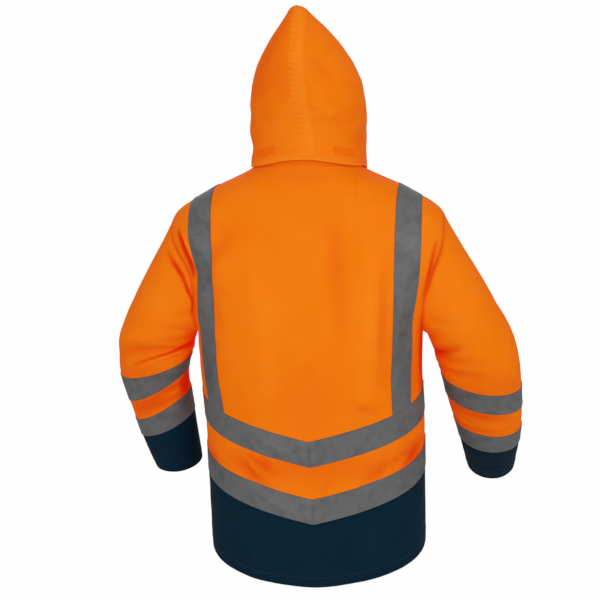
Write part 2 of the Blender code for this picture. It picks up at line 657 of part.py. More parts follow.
class SleeveForm:
    """Rings of one sleeve: out of the armhole, past the elbow and down to the cuff's end."""

    def __init__(self, side, armhole):
        self.sign = sleeve_sign(side)
        self.folds = SLEEVE_FOLDS[side]
        self.shape = SLEEVE[side]
        self.armhole = armhole
        start = armhole.mean(axis=0)
        line = SLEEVE_LINE[side]
        knots = np.stack([line["x"], line["y"], line["z"]], axis=1)
        knots = np.concatenate([[start], knots])
        run = np.concatenate([[0.0], np.cumsum(np.linalg.norm(np.diff(knots, axis=0), axis=1))])
        fine = np.linspace(0.0, run[-1], DENSE)
        self.line = np.stack([steady(run, knots[:, k], fine) for k in range(3)], axis=1)
        steps = np.linalg.norm(np.diff(self.line, axis=0), axis=1)
        self.run = np.concatenate([[0.0], np.cumsum(steps)])
        self.length = self.run[-1]
        self.turns = self.ring_turns()

    def ring_turns(self):
        """Share of a turn of each ring point, from the outer line round by the back."""
        count = len(self.armhole)
        low, high = ARMHOLE_LOW_STEPS, ARMHOLE_HIGH_STEPS
        half = np.concatenate([np.linspace(0, 0.25, high + 1), np.linspace(0.25, 0.5, low + 1)[1:]])
        return np.concatenate([half, 1 - half[1:-1][::-1]])[:count]

    def middle(self, distance):
        """Point of the middle line at a distance from the cuff's end."""
        at = self.length - distance
        return np.array([np.interp(at, self.run, self.line[:, k]) for k in range(3)])

    def ring(self, distance):
        """A plain ring across the sleeve, and the way the sleeve runs there."""
        step = 0.012
        ahead = self.middle(max(distance - step, 0.0))
        behind = self.middle(min(distance + step, self.length))
        way = unit(ahead - behind)
        out = np.array([self.sign, 0.0, 0.0])
        out = unit(out - (out @ way) * way)
        back = unit(np.cross(way, out)) * self.sign
        back = back if back[1] > 0 else -back
        wide = read(self.shape, "wide", distance, "along") / 2
        deep = read(self.shape, "deep", distance, "along") / 2
        drawn = read(self.shape, "drawn", distance, "along")
        angle = self.turns[:, None] * 2 * math.pi
        points = self.middle(distance) + np.cos(angle) * wide * out + np.sin(angle) * deep * back
        points = points + np.cos(angle) * drawn * way
        return points, way

    def crown(self, share, biceps, way):
        """Ring between the armhole and the biceps, along curves that leave the shoulder smoothly."""
        chord = biceps - self.armhole
        length = np.linalg.norm(chord, axis=1, keepdims=True)
        low = (1 - np.cos(self.turns[:, None] * 2 * math.pi)) / 2
        over = np.array([SHOULDER_WAY[0] * self.sign, 0.0, SHOULDER_WAY[1]])
        under = way + np.array([UNDERARM_OUT * self.sign, 0.0, 0.0])
        leave = unit(over * (1 - low) + under * low) * length * SHOULDER_PULL
        arrive = way * length * ARM_PULL
        t = share
        points = (2 * t**3 - 3 * t**2 + 1) * self.armhole + (t**3 - 2 * t**2 + t) * leave
        return points + (3 * t**2 - 2 * t**3) * biceps + (t**3 - t**2) * arrive

    def grid(self, distances, crown_shares):
        """Points and outward normals, from the armhole (if crown shares are given) to the last distance."""
        biceps_at = self.length - BICEPS_FROM_ARMHOLE
        biceps, way = self.ring(biceps_at)
        rows = [self.crown(share, biceps, way) for share in crown_shares]
        measured = [biceps_at + (1 - share) * BICEPS_FROM_ARMHOLE for share in crown_shares]
        rows += [self.ring(distance)[0] for distance in distances]
        points = np.array(rows)
        measured = np.array(measured + list(distances))
        normals = self.outward(points)
        lift = self.fold_lift(measured)
        if crown_shares:
            lift[0] = 0.0
        points = points + normals * lift[..., None]
        return points, self.outward(points)

    def fold_lift(self, measured):
        turns = np.broadcast_to(self.turns, (len(measured), len(self.turns)))
        distance = np.broadcast_to(measured[:, None], turns.shape)
        girth = math.pi * read(self.shape, "wide", distance, "along")
        lift = np.zeros(turns.shape)
        for k in range(len(self.folds["depth"])):
            start = self.folds["turn"][k], self.folds["along"][k]
            end = self.folds["to_turn"][k], self.folds["to_along"][k]
            share = np.clip((turns - start[0]) / (end[0] - start[0]), 0.0, 1.0)
            round_gap = (turns - start[0] - share * (end[0] - start[0])) * girth
            up_gap = distance - start[1] - share * (end[1] - start[1])
            away = np.hypot(round_gap, up_gap)
            fade = 0.3 + 0.7 * np.sin(math.pi * np.clip(share, 0.02, 0.98))
            lift += self.folds["depth"][k] * fade * np.exp(-((away / self.folds["width"][k]) ** 2))
        return lift

    def outward(self, points):
        normals = grid_normals(points, wrap=True)
        middle = points.mean(axis=1, keepdims=True)
        facing = np.sum(normals * (points - middle), axis=-1).mean()
        return normals if facing > 0 else -normals


def even(start, end, count):
    return list(np.linspace(start, end, count))


def make_sleeve(side, body, finishes):
    sign = sleeve_sign(side)
    form = SleeveForm(side, body.armhole(sign))
    biceps_at = form.length - BICEPS_FROM_ARMHOLE
    cuff_top, lower_high = SLEEVE_LOWER_TAPE[side]
    upper_low, upper_high = SLEEVE_UPPER_TAPE[side]
    upper = even(biceps_at, upper_high, 7)
    tape_rows = even(upper_high, upper_low, 3)
    between = even(upper_low, lower_high, 3)
    low_rows = even(lower_high, cuff_top, 3)
    cuff_rows = even(cuff_top, 0.0, 5)
    distances = upper + tape_rows[1:] + between[1:] + low_rows[1:] + cuff_rows[1:]
    shares = even(0.0, 1.0, 6)[:-1]
    points, normals = form.grid(distances, shares)
    joint = unit(normals[0] + body.armhole_normals(sign))
    normals[0] = joint
    body.set_armhole_normals(sign, joint)
    first = len(shares) + len(upper) - 1
    rows = {"upper": (first, first + 2), "lower": (first + 4, first + 6)}
    end = first + 6
    sleeve = trimmed(trimmed(points[: end + 1], "bottom top"), "bottom", GAP)
    wall("sleeve_" + side, sleeve, normals[: end + 1], CLOTH, finishes["orange"], wrap=True)
    cuff = trimmed(points[end:], "bottom")
    wall("cuff_" + side, cuff, normals[end:], CLOTH, finishes["navy"], wrap=True)
    for name, (start, stop) in rows.items():
        strip = trimmed(points[start : stop + 1], "bottom top") + normals[start : stop + 1] * (GAP + TAPE)
        title = "sleeve_tape_" + name + "_" + side
        wall(title, strip, normals[start : stop + 1], TAPE, finishes["tape"], wrap=True)


# ---- Panels, tapes and braces of the body ----


def make_panels(body, finishes):
    back, back_normals = body.points[1], body.normals[1]
    seam = Row.LOWER_START
    panel = trimmed(back[seam:], "bottom top left right")
    wall("back_panel", panel, back_normals[seam:], CLOTH, finishes["orange"])
    hem = trimmed(back[: seam + 1], "top left right")
    wall("back_hem", hem, back_normals[: seam + 1], CLOTH, finishes["navy"])
    front, front_normals = body.points[-1], body.normals[-1]
    middle = body.middle(-1)
    for side, span in (("left", slice(middle + 1, None)), ("right", slice(0, middle))):
        panel = trimmed(front[seam:, span], "bottom top left right")
        wall("front_" + side, panel, front_normals[seam:, span], CLOTH, finishes["orange"])
        hem = trimmed(front[: seam + 1, span], "top left right")
        wall("front_hem_" + side, hem, front_normals[: seam + 1, span], CLOTH, finishes["navy"])


def make_tapes(body, finishes):
    """Two chevron tapes round the body, in four lengths each, mitred at the centre back."""
    for name, start in (("lower", Row.LOWER_START), ("upper", Row.UPPER_START)):
        rows = slice(start, start + 2)
        for face, label in ((1, "back"), (-1, "front")):
            middle = body.middle(face)
            left = slice(middle if face > 0 else middle + 1, None)
            right = slice(0, middle + 1 if face > 0 else middle)
            for side, span in (("left", left), ("right", right)):
                title = "tape_" + name + "_" + label + "_" + side
                tape(title, body.points[face][rows, span], body.normals[face][rows, span], finishes["tape"])


def make_braces(body, finishes):
    """Upright tapes from the upper tape to each shoulder seam, behind and in front."""
    brace = len(NECK_SHARES) - 1
    rows = slice(Row.UPPER_END, Row.TOP + 1)
    for face, label in ((1, "back"), (-1, "front")):
        middle = body.middle(face)
        for side, sign in (("left", 1), ("right", -1)):
            inner = middle + sign * (brace + (1 if face < 0 else 0))
            outer = inner + sign * BRACE_STEPS
            span = slice(min(inner, outer), max(inner, outer) + 1)
            strip, normals = body.points[face][rows, span], body.normals[face][rows, span]
            tape("brace_" + label + "_" + side, strip, normals, finishes["tape"], "bottom top")


# ---- Collar and zip ----


def neck_ring(body):
    """Points of the neck seam from the left front edge round the back to the right front edge."""
    back = body.middle(1)
    front = body.middle(-1)
    reach = NECK_CORNER
    left_front = body.points[-1][Row.TOP, front + 1 : front + reach + 1]
    whole_back = body.points[1][Row.TOP, back - reach : back + reach + 1][::-1]
    right_front = body.points[-1][Row.TOP, front - reach : front]
    return np.concatenate([left_front, whole_back, right_front])


def behind_share(y):
    """Share from 0 at the front of the neck to 1 at its back."""
    first, last = COLLAR_LOWERS
    return smooth((y - first) / (last - first))


def collar_rows(ring):
    """Grid of the collar that stands on the neck seam and leans a little inwards at the back."""
    behind = behind_share(ring[:, 1])
    tall = COLLAR_FRONT + (COLLAR_BACK - COLLAR_FRONT) * behind
    lean = COLLAR_LEAN * behind
    rows = []
    for share in (0.0, 0.34, 0.67, 1.0):
        row = ring.copy()
        row[:, :2] *= 1 - (lean * share)[:, None]
        row[:, 2] += GAP + tall * share
        rows.append(row)
    return np.array(rows)


def flat_normals(ring):
    outward = ring.copy()
    outward[:, 2] = 0.0
    along_ring = np.gradient(ring, axis=0)
    along_ring[:, 2] = 0.0
    sideways = unit(np.stack([along_ring[:, 1], -along_ring[:, 0], np.zeros(len(ring))], axis=1))
    facing = np.sign(np.sum(sideways * outward, axis=1, keepdims=True))
    return sideways * facing


def make_collar(body, finishes):
    rows = collar_rows(neck_ring(body))
    normals = np.array([flat_normals(row) for row in rows])
    wall("collar", trimmed(rows, "left right"), normals, CLOTH, finishes["orange"])
    return rows, normals


def make_zip(body, collar, finishes):
    """Two zip tapes, sunk between the edges of the fronts and of the collar, closed along the middle."""
    middle = body.middle(-1)
    for side, sign in (("left", 1), ("right", -1)):
        edge = body.points[-1][:, middle + sign]
        centre = body.points[-1][:, middle]
        collar_edge = collar[:, 0] if sign > 0 else collar[:, -1]
        collar_centre = collar_edge * np.array([0.0, 1.0, 1.0])
        outer = np.concatenate([edge, collar_edge[1:]])
        inner = np.concatenate([centre, collar_centre[1:]])
        grid = np.stack([inner, outer], axis=1)
        across = unit(grid[:, 1] - grid[:, 0])
        up = unit(np.gradient(grid[:, 0], axis=0))
        normal = unit(np.cross(across, up)) * sign
        normal = np.where(normal[:, 1:2] > 0, -normal, normal)
        normals = np.stack([normal, normal], axis=1)
        sunk = trimmed(grid, "left right") - normals * GAP
        wall("zip_" + side, sunk, normals, TAPE, finishes["black"])


def loft(name, stations, middle, finish):
    """Closed solid through level rectangles with cut corners, each given as z, width, depth and y."""
    rings = []
    for z, width, depth, y in stations:
        cut = min(width, depth) * 0.28
        w, d = width / 2, depth / 2
        corners = ((w, d - cut), (w - cut, d), (cut - w, d), (-w, d - cut))
        corners += tuple((-x, -across) for x, across in corners)
        rings.append([(x, y + across, z) for x, across in corners])
    points = np.array(rings).reshape(-1, 3)
    count = len(rings[0])
    faces = [tuple(range(count))[::-1], tuple(range(len(points) - count, len(points)))]
    for i in range(len(rings) - 1):
        for j in range(count):
            k = (j + 1) % count
            low, high = i * count, (i + 1) * count
            faces.append((low + j, low + k, high + k, high + j))
    obj = solid(name, points, faces, finish)
    obj.location = middle
    return obj


def make_slider(collar, finishes):
    """Zip slider at the top of the closed zip, with its pull hanging from two lugs."""
    front = float(collar[0, 0, 1])
    top = float(collar[-1, 0, 2])
    face = front - GAP
    hinge = (0.0, face - SLIDER_DEPTH - PULL_BARREL / 2 - GAP, top - SLIDER_BELOW_TOP)
    slider = loft("zip_slider", SLIDER, (0.0, face - SLIDER_DEPTH / 2, hinge[2]), finishes["metal"])
    for sign in (1, -1):
        middle = (sign * (PULL_NECK / 2 + GAP + LUG / 2), hinge[1] + LUG_BEHIND, hinge[2])
        lug = loft("lug_" + ("left" if sign > 0 else "right"), LUGS, middle, finishes["metal"])
        lug.hide_render = True
        lug.display_type = "WIRE"
        join = slider.modifiers.new(lug.name, "BOOLEAN")
        join.operation = "UNION"
        join.solver = "EXACT"
        join.object = lug
    loft("zip_pull", PULL, hinge, finishes["metal"])


# ---- Hood ----


def hood_section(angle, z):
    """Point of the hood's level section at an angle from the centre back to the centre front."""
    half, middle = read(HOOD, "half", z), read(HOOD, "middle", z)
    back, front, square = read(HOOD, "back", z), read(HOOD, "front", z), read(HOOD, "square", z)
    s, c = np.sin(angle), np.cos(angle)
    depth = np.where(c > 0, back, front)
    half = np.maximum(half, 1e-5)
    reach = ((np.abs(s) / half) ** square + (np.abs(c) / depth) ** square) ** (-1 / square)
    return reach * s, middle + reach * c


def face_half(z):
    """Half width of the face opening, nothing above the brow."""
    low = CHIN_HALF + (FACE_HALF - CHIN_HALF) * smooth((z - CHIN) / (FACE_WIDEST - CHIN))
    share = np.clip((z - FACE_WIDEST) / (BROW - FACE_WIDEST), 0.0, 1.0)
    return np.where(z < FACE_WIDEST, low, FACE_HALF * np.sqrt(1 - share**2))


def hood_base(angle):
    """Hood's lower edge, just outside the collar, at an angle from the centre back to the centre front."""
    ring = np.concatenate([neck_curve(1), neck_curve(-1)[-2::-1]])
    way = np.gradient(ring[:, :2], axis=0)
    out = unit(np.stack([way[:, 1], -way[:, 0]], axis=1))
    out *= np.sign(np.sum(out * ring[:, :2], axis=1, keepdims=True))
    edge = ring[:, :2] + out * (CLOTH + HOOD_CLEARANCE)
    turn = np.arctan2(edge[:, 0], edge[:, 1])
    return [np.interp(angle, turn, column) for column in (edge[:, 0], edge[:, 1], ring[:, 2] + HOOD_LIFT)]


def hood_curve(level):
    """Fine curve from the back seam to the face, or to the front seam above the brow."""
    angle = np.linspace(0.0, math.pi, 4 * DENSE)
    base_x, base_y, base_z = hood_base(angle)
    x, y = hood_section(angle, level)
    settle = 1 - smooth((level - COLLAR_FRONT) / (HOOD_SETTLED - COLLAR_FRONT))
    eased = 1 - smooth(level / HOOD_SETTLED)
    z = level + base_z * settle
    x += (base_x - x) * settle
    y += (base_y - y) * (settle + (eased - settle) * behind_share(y))
    x *= 1 - HOOD_NIP * math.exp(-(((level - HOOD_NIP_AT) / HOOD_NIP_REACH) ** 2)) * behind_share(y)
    keep = ~((angle > math.pi / 2) & (x < face_half(z)))
    if level >= BROW:
        keep[:] = True
    curve = np.stack([x, y, z], axis=1)[keep]
    if level < BROW:
        last = np.count_nonzero(keep)
        before, after = curve[-1], np.array([x[last], y[last], z[last]])
        share = (before[0] - face_half(before[2])) / max(before[0] - after[0], 1e-9)
        curve = np.concatenate([curve, [before + (after - before) * float(np.clip(share, 0, 1))]])
    return curve


def hood_turned(points):
    turn = np.radians(read(HOOD_POSE, "turn", points[..., 2]))
    sway = read(HOOD_POSE, "sway", points[..., 2])
    x, y = points[..., 0], points[..., 1]
    moved = x * np.cos(turn) - y * np.sin(turn) + sway, x * np.sin(turn) + y * np.cos(turn)
    return np.stack([moved[0], moved[1], points[..., 2]], axis=-1)


def hood_normals(points):
    """Normals that point out of the hood."""
    normals = grid_normals(points)
    row, column = 3, 5
    away = points[row, column] - points[row].mean(axis=0)
    return normals if normals[row, column] @ away > 0 else -normals


def hood_grid(side):
    sign = sleeve_sign(side)
    shares = np.array(HOOD_SHARES)
    points = np.array([along(hood_curve(level), shares) for level in HOOD_LEVELS])
    points[-1, :, 0] = 0.0
    for i, level in enumerate(HOOD_LEVELS):
        points[i, 0, 0] = 0.0
        if level >= BROW:
            points[i, -1, 0] = 0.0
    normals = hood_normals(points)
    share_grid = np.broadcast_to(shares, points.shape[:2])
    folds = {**HOOD_FOLDS, "share": HOOD_FOLDS["share"] * HOOD_GIRTH}
    folds["to_share"] = HOOD_FOLDS["to_share"] * HOOD_GIRTH
    lift = fold_depth(folds, share_grid * HOOD_GIRTH, points[..., 2], sign)
    lift[:, 0] = 0.0
    lift[-1] = 0.0
    lift[:2] = 0.0
    points = points + normals * lift[..., None]
    normals = hood_normals(points)
    crown = [i for i, level in enumerate(HOOD_LEVELS) if level >= BROW]
    normals[:, 0, 0] = 0.0
    normals[crown, -1, 0] = 0.0
    normals[-1, :, 0] = 0.0
    normals = unit(normals)
    mirror = np.array([sign, 1.0, 1.0])
    return points * mirror, normals * mirror, crown


def make_hood(side, finishes):
    sign = sleeve_sign(side)
    points, normals, crown = hood_grid(side)
    points[:, 0, 0] += sign * GAP / 2
    points[crown, -1, 0] += sign * GAP / 2
    points[-1, :, 0] = sign * GAP / 2
    moved = hood_turned(points)
    turned = unit(hood_turned(points + normals * 0.001) - moved)
    wall("hood_" + side, moved, turned, CLOTH, finishes["orange"])
    first, last = HOOK_COLUMNS[side]
    rows, span = slice(HOOK_ROWS[0], HOOK_ROWS[1] + 1), slice(first, last + 1)
    patch, patch_normals = moved[rows, span], turned[rows, span]
    tape("hook_tab_" + side, patch, patch_normals, finishes["hook"])


# ---- Finishes and assembly ----


def finish(name, colour, roughness, metallic=0.0):
    material = bpy.data.materials.new(name)
    material.use_nodes = True
    shader = material.node_tree.nodes["Principled BSDF"]
    shader.inputs["Base Color"].default_value = (*colour, 1.0)
    shader.inputs["Roughness"].default_value = roughness
    shader.inputs["Metallic"].default_value = metallic
    material.diffuse_color = (*colour, 1.0)
    return material


def clear_scene():
    for obj in list(bpy.data.objects):
        bpy.data.objects.remove(obj, do_unlink=True)


def main():
    clear_scene()
    finishes = {
        "orange": finish("orange_cloth", (0.85, 0.17, 0.01), 0.75),
        "navy": finish("navy_cloth", (0.004, 0.014, 0.030), 0.80),
        "tape": finish("reflective_tape", (0.16, 0.17, 0.17), 0.45),
        "black": finish("black_tape", (0.02, 0.02, 0.02), 0.70),
        "hook": finish("hook_tape", (0.72, 0.11, 0.008), 0.90),
        "metal": finish("dark_metal", (0.12, 0.12, 0.12), 0.35, 1.0),
    }
    body = Body()
    for side in ("left", "right"):
        make_sleeve(side, body, finishes)
        make_hood(side, finishes)
    make_panels(body, finishes)
    make_tapes(body, finishes)
    make_braces(body, finishes)
    collar, _ = make_collar(body, finishes)
    make_zip(body, collar, finishes)
    make_slider(collar, finishes)


main()
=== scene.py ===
"""Looks of a hooded hi-vis work jacket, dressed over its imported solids.

Metres, +Z up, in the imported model's own frame: the front faces -Y and the wearer's left is +X. Every piece of
cloth is cut from one of three forms, the body, a sleeve or the hood, as fine grids with their creases laid in.
"""

import logging
import math
from collections.abc import Sequence
from dataclasses import dataclass, field, replace
from enum import Enum

import bpy
import numpy as np
from mathutils import Matrix, Vector


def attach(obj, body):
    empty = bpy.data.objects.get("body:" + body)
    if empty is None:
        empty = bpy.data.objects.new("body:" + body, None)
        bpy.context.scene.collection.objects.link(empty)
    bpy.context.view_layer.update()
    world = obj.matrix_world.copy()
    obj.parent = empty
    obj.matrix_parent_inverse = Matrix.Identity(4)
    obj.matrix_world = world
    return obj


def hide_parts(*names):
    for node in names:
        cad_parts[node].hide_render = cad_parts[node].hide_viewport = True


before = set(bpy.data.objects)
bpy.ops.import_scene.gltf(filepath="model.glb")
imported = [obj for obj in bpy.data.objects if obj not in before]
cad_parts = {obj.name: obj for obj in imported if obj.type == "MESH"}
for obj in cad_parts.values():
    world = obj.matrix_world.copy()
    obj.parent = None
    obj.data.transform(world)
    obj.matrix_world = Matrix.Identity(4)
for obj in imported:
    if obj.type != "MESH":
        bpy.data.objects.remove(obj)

LOG = logging.getLogger("jacket")
ROOT = "garment"

Colour = tuple[float, float, float]
Array = np.ndarray
Values = np.ndarray | float
Table = dict[str, Array]
Finishes = dict[str, bpy.types.Material]


class Labelled(Enum):
    """A choice whose name is also used in lower case."""

    @property
    def label(self) -> str:
        """The name in lower case."""
        return self.name.lower()


class Side(Labelled):
    """A side of the wearer, as the sign of its X."""

    LEFT = 1
    RIGHT = -1


class Face(Labelled):
    """Back or front of the body, as the sign of its Y."""

    BACK = 1
    FRONT = -1


# ---- Numbers and curves ----


WAVES = 9  # how many waves make up an unevenness
WAVE_SIZES = (0.7, 1.8)  # their least and greatest width, as shares of the asked size
WAVE_PEAK = 5.0  # about the height that they reach together


def table(columns: str, *rows: tuple) -> Table:
    """Makes a table with named columns.

    Args:
        columns: Names of the columns, parted by spaces.
        rows: One tuple of numbers for each row.

    Returns:
        Each column's values by its name.
    """
    return dict(zip(columns.split(), np.array(rows, float).T))


def steady(xs: Array, ys: Array, x: Values) -> Array:
    """Reads a smooth curve that never overshoots its points and is flat past both ends.

    Args:
        xs: Rising places of the known points.
        ys: Values there.
        x: Places to read.

    Returns:
        The curve's values at x.
    """
    x = np.clip(np.asarray(x, float), xs[0], xs[-1])
    h = np.diff(xs)
    slope = np.diff(ys) / h
    tangent = np.zeros(len(xs))
    same = slope[:-1] * slope[1:] > 0
    w1, w2 = 2 * h[1:] + h[:-1], h[1:] + 2 * h[:-1]
    near, far = np.where(same, slope[:-1], 1.0), np.where(same, slope[1:], 1.0)
    tangent[1:-1] = np.where(same, (w1 + w2) / (w1 / near + w2 / far), 0.0)
    tangent[0], tangent[-1] = slope[0], slope[-1]
    i = np.clip(np.searchsorted(xs, x, side="right") - 1, 0, len(xs) - 2)
    t = (x - xs[i]) / h[i]
    value = (1 + 2 * t) * (1 - t) ** 2 * ys[i] + t**2 * (3 - 2 * t) * ys[i + 1]
    return value + t * (1 - t) ** 2 * h[i] * tangent[i] + t**2 * (t - 1) * h[i] * tangent[i + 1]


def read(form: Table, column: str, at: Values, key: str = "z") -> Array:
    """Reads one column of a table smoothly at the given values of its key column."""
    return steady(form[key], form[column], at)


def unit(v: Array) -> Array:
    """The same vectors with length 1."""
    return v / np.maximum(np.linalg.norm(v, axis=-1, keepdims=True), 1e-12)


def smooth(t: Values) -> Array:
    """A soft step from 0 to 1 as t goes from 0 to 1."""
    t = np.clip(t, 0.0, 1.0)
    return t * t * (3 - 2 * t)


def run_of(curve: Array) -> Array:
    """Length along a curve up to each of its points."""
    return np.concatenate([[0.0], np.cumsum(np.linalg.norm(np.diff(curve, axis=0), axis=1))])


def at_run(curve: Array, run: Array, wanted: Array) -> Array:
    """Points of a curve at the wanted lengths along it."""
    return np.stack([np.interp(wanted, run, curve[:, k]) for k in range(3)], axis=1)


def oval_reach(angle: Array, half: Array, depth: Array, square: Array) -> Array:
    """Distance from the middle of a squarish oval to its edge.

    Args:
        angle: Angle from the way in which the depth is measured.
        half: Half width of the oval.
        depth: Its reach at angle 0.
        square: Power of its shape, 2 for an ellipse and more for a squarer one.

    Returns:
        The distance at each angle.
    """
    s, c = np.abs(np.sin(angle)), np.abs(np.cos(angle))
    return ((s / half) ** square + (c / depth) ** square) ** (-1 / square)


def swung(points: Array, pose: Table) -> Array:
    """Turns points about Z and sways them sideways, by their height.

    Args:
        points: The points to move.
        pose: Columns z, turn in degrees and sway in metres.

    Returns:
        The moved points.
    """
    x, y, z = np.moveaxis(points, -1, 0)
    turn = np.radians(read(pose, "turn", z))
    across = x * np.cos(turn) - y * np.sin(turn) + read(pose, "sway", z)
    return np.stack([across, x * np.sin(turn) + y * np.cos(turn), z], axis=-1)


def spans(knots: Sequence[float], steps: Sequence[int]) -> Array:
    """Divides each gap between knots evenly.

    Args:
        knots: The values to keep.
        steps: How many parts each gap gets.

    Returns:
        All the values, knots included.
    """
    parts = [np.linspace(a, b, n + 1)[:-1] for a, b, n in zip(knots, knots[1:], steps)]
    return np.append(np.concatenate(parts), knots[-1])


def soft_noise(u: Array, v: Array, size: float, seed: int) -> Array:
    """Smooth unevenness between -1 and 1, made of a few seeded waves.

    Args:
        u: Places across the cloth, in metres.
        v: Places up the cloth, in metres.
        size: About the width of one wave, in metres.
        seed: Chooses the waves.

    Returns:
        The unevenness at each place.
    """
    chance = np.random.default_rng(seed)
    total = np.zeros(np.shape(u))
    for _ in range(WAVES):
        angle, phase = chance.uniform(0, math.tau, 2)
        reach = math.tau / (size * chance.uniform(*WAVE_SIZES))
        total += np.sin((u * math.cos(angle) + v * math.sin(angle)) * reach + phase)
    return total / WAVE_PEAK


# ---- Finishes ----


class Number:
    """A number in a shader that Python's operators work on, each by adding a Math node."""

    def __init__(self, shader: "Shader", socket: bpy.types.NodeSocket) -> None:
        """Wraps a socket of the shader's tree."""
        self.shader = shader
        self.socket = socket

    def maths(self, operation: str, *values: "Number | float") -> "Number":
        """Adds a Math node with the given values and wraps its result."""
        return Number(self.shader, self.shader.add("ShaderNodeMath", {"operation": operation}, *values).outputs[0])

    def __add__(self, other: "Number | float") -> "Number":
        """Sum."""
        return self.maths("ADD", self, other)

    def __mul__(self, other: "Number | float") -> "Number":
        """Product."""
        return self.maths("MULTIPLY", self, other)

    def __sub__(self, other: "Number | float") -> "Number":
        """Difference."""
        return self.maths("SUBTRACT", self, other)

    def __rsub__(self, other: "Number | float") -> "Number":
        """Difference from a number on the left."""
        return self.maths("SUBTRACT", other, self)

    def __truediv__(self, other: "Number | float") -> "Number":
        """Quotient."""
        return self.maths("DIVIDE", self, other)

    def __pow__(self, other: "Number | float") -> "Number":
        """Power."""
        return self.maths("POWER", self, other)

    def sine(self) -> "Number":
        """Sine of an angle in radians."""
        return self.maths("SINE", self)

    def size(self) -> "Number":
        """The value without its sign."""
        return self.maths("ABSOLUTE", self)

    def held(self) -> "Number":
        """The value kept between 0 and 1."""
        return self.maths("MINIMUM", self.maths("MAXIMUM", self, 0.0), 1.0)


class Shader:
    """A material's node tree, with one way to add nodes."""

    def __init__(self, name: str) -> None:
        """Starts a material with its Principled shader."""
        self.material = bpy.data.materials.new(name)
        self.material.use_nodes = True
        self.tree = self.material.node_tree
        self.surface = self.tree.nodes["Principled BSDF"]

    def add(self, kind: str, settings: dict | None = None, *values: object, **named: object) -> bpy.types.Node:
        """Adds a node.

        Args:
            kind: Type of the node.
            settings: Its properties, set before anything else.
            values: Numbers, colours, sockets or Numbers for its inputs in order, None to skip one.
            named: The same for inputs by name, with _ for a space.

        Returns:
            The new node.
        """
        node = self.tree.nodes.new(kind)
        for key, value in (settings or {}).items():
            setattr(node, key, value)
        wanted = {i: v for i, v in enumerate(values) if v is not None}
        wanted.update({key.replace("_", " "): v for key, v in named.items()})
        for key, value in wanted.items():
            self.feed(node.inputs[key], value)
        return node

    def feed(self, socket: bpy.types.NodeSocket, value: object) -> None:
        """Links or sets one input."""
        value = value.socket if isinstance(value, Number) else value
        if isinstance(value, bpy.types.NodeSocket):
            self.tree.links.new(value, socket)
        elif isinstance(value, tuple) and len(value) == 3 and len(socket.default_value) == 4:
            socket.default_value = (*value, 1.0)
        else:
            socket.default_value = value

    def number(self, socket: bpy.types.NodeSocket) -> Number:
        """Wraps a socket."""
        return Number(self, socket)

    def attribute(self, name: str) -> Number:
        """A number stored on the mesh."""
        return self.number(self.add("ShaderNodeAttribute", {"attribute_name": name}).outputs["Fac"])

    def cloth_place(self) -> tuple[Number, Number, bpy.types.NodeSocket]:
        """Place across and up the cloth in metres, and both as a vector."""
        spot = self.add("ShaderNodeUVMap", {"uv_map": "cloth"}).outputs["UV"]
        parts = self.add("ShaderNodeSeparateXYZ", None, spot)
        return self.number(parts.outputs[0]), self.number(parts.outputs[1]), spot

    def noise(self, place: bpy.types.NodeSocket, scale: float, detail: float = 2.0) -> Number:
        """Cloudy noise from 0 to 1."""
        node = self.add("ShaderNodeTexNoise", None, place, Scale=scale, Detail=detail, Roughness=0.55)
        return self.number(node.outputs[0])

    def mix(self, low: object, high: object, share: Number | float) -> bpy.types.NodeSocket:
        """A colour between low and high."""
        node = self.add("ShaderNodeMix", {"data_type": "RGBA"})
        for index, value in ((0, share), (6, low), (7, high)):
            self.feed(node.inputs[index], value)
        return node.outputs[2]

    def bump(self, height: Number, distance: float, strength: float = 1.0) -> bpy.types.NodeSocket:
        """Normals that follow a height."""
        return self.add("ShaderNodeBump", None, Strength=strength, Distance=distance, Height=height).outputs[0]

    def dress(self, **inputs: object) -> bpy.types.Material:
        """Sets the Principled shader's inputs by name and hands over the material."""
        for key, value in inputs.items():
            self.feed(self.surface.inputs[key.replace("_", " ")], value)
        return self.material


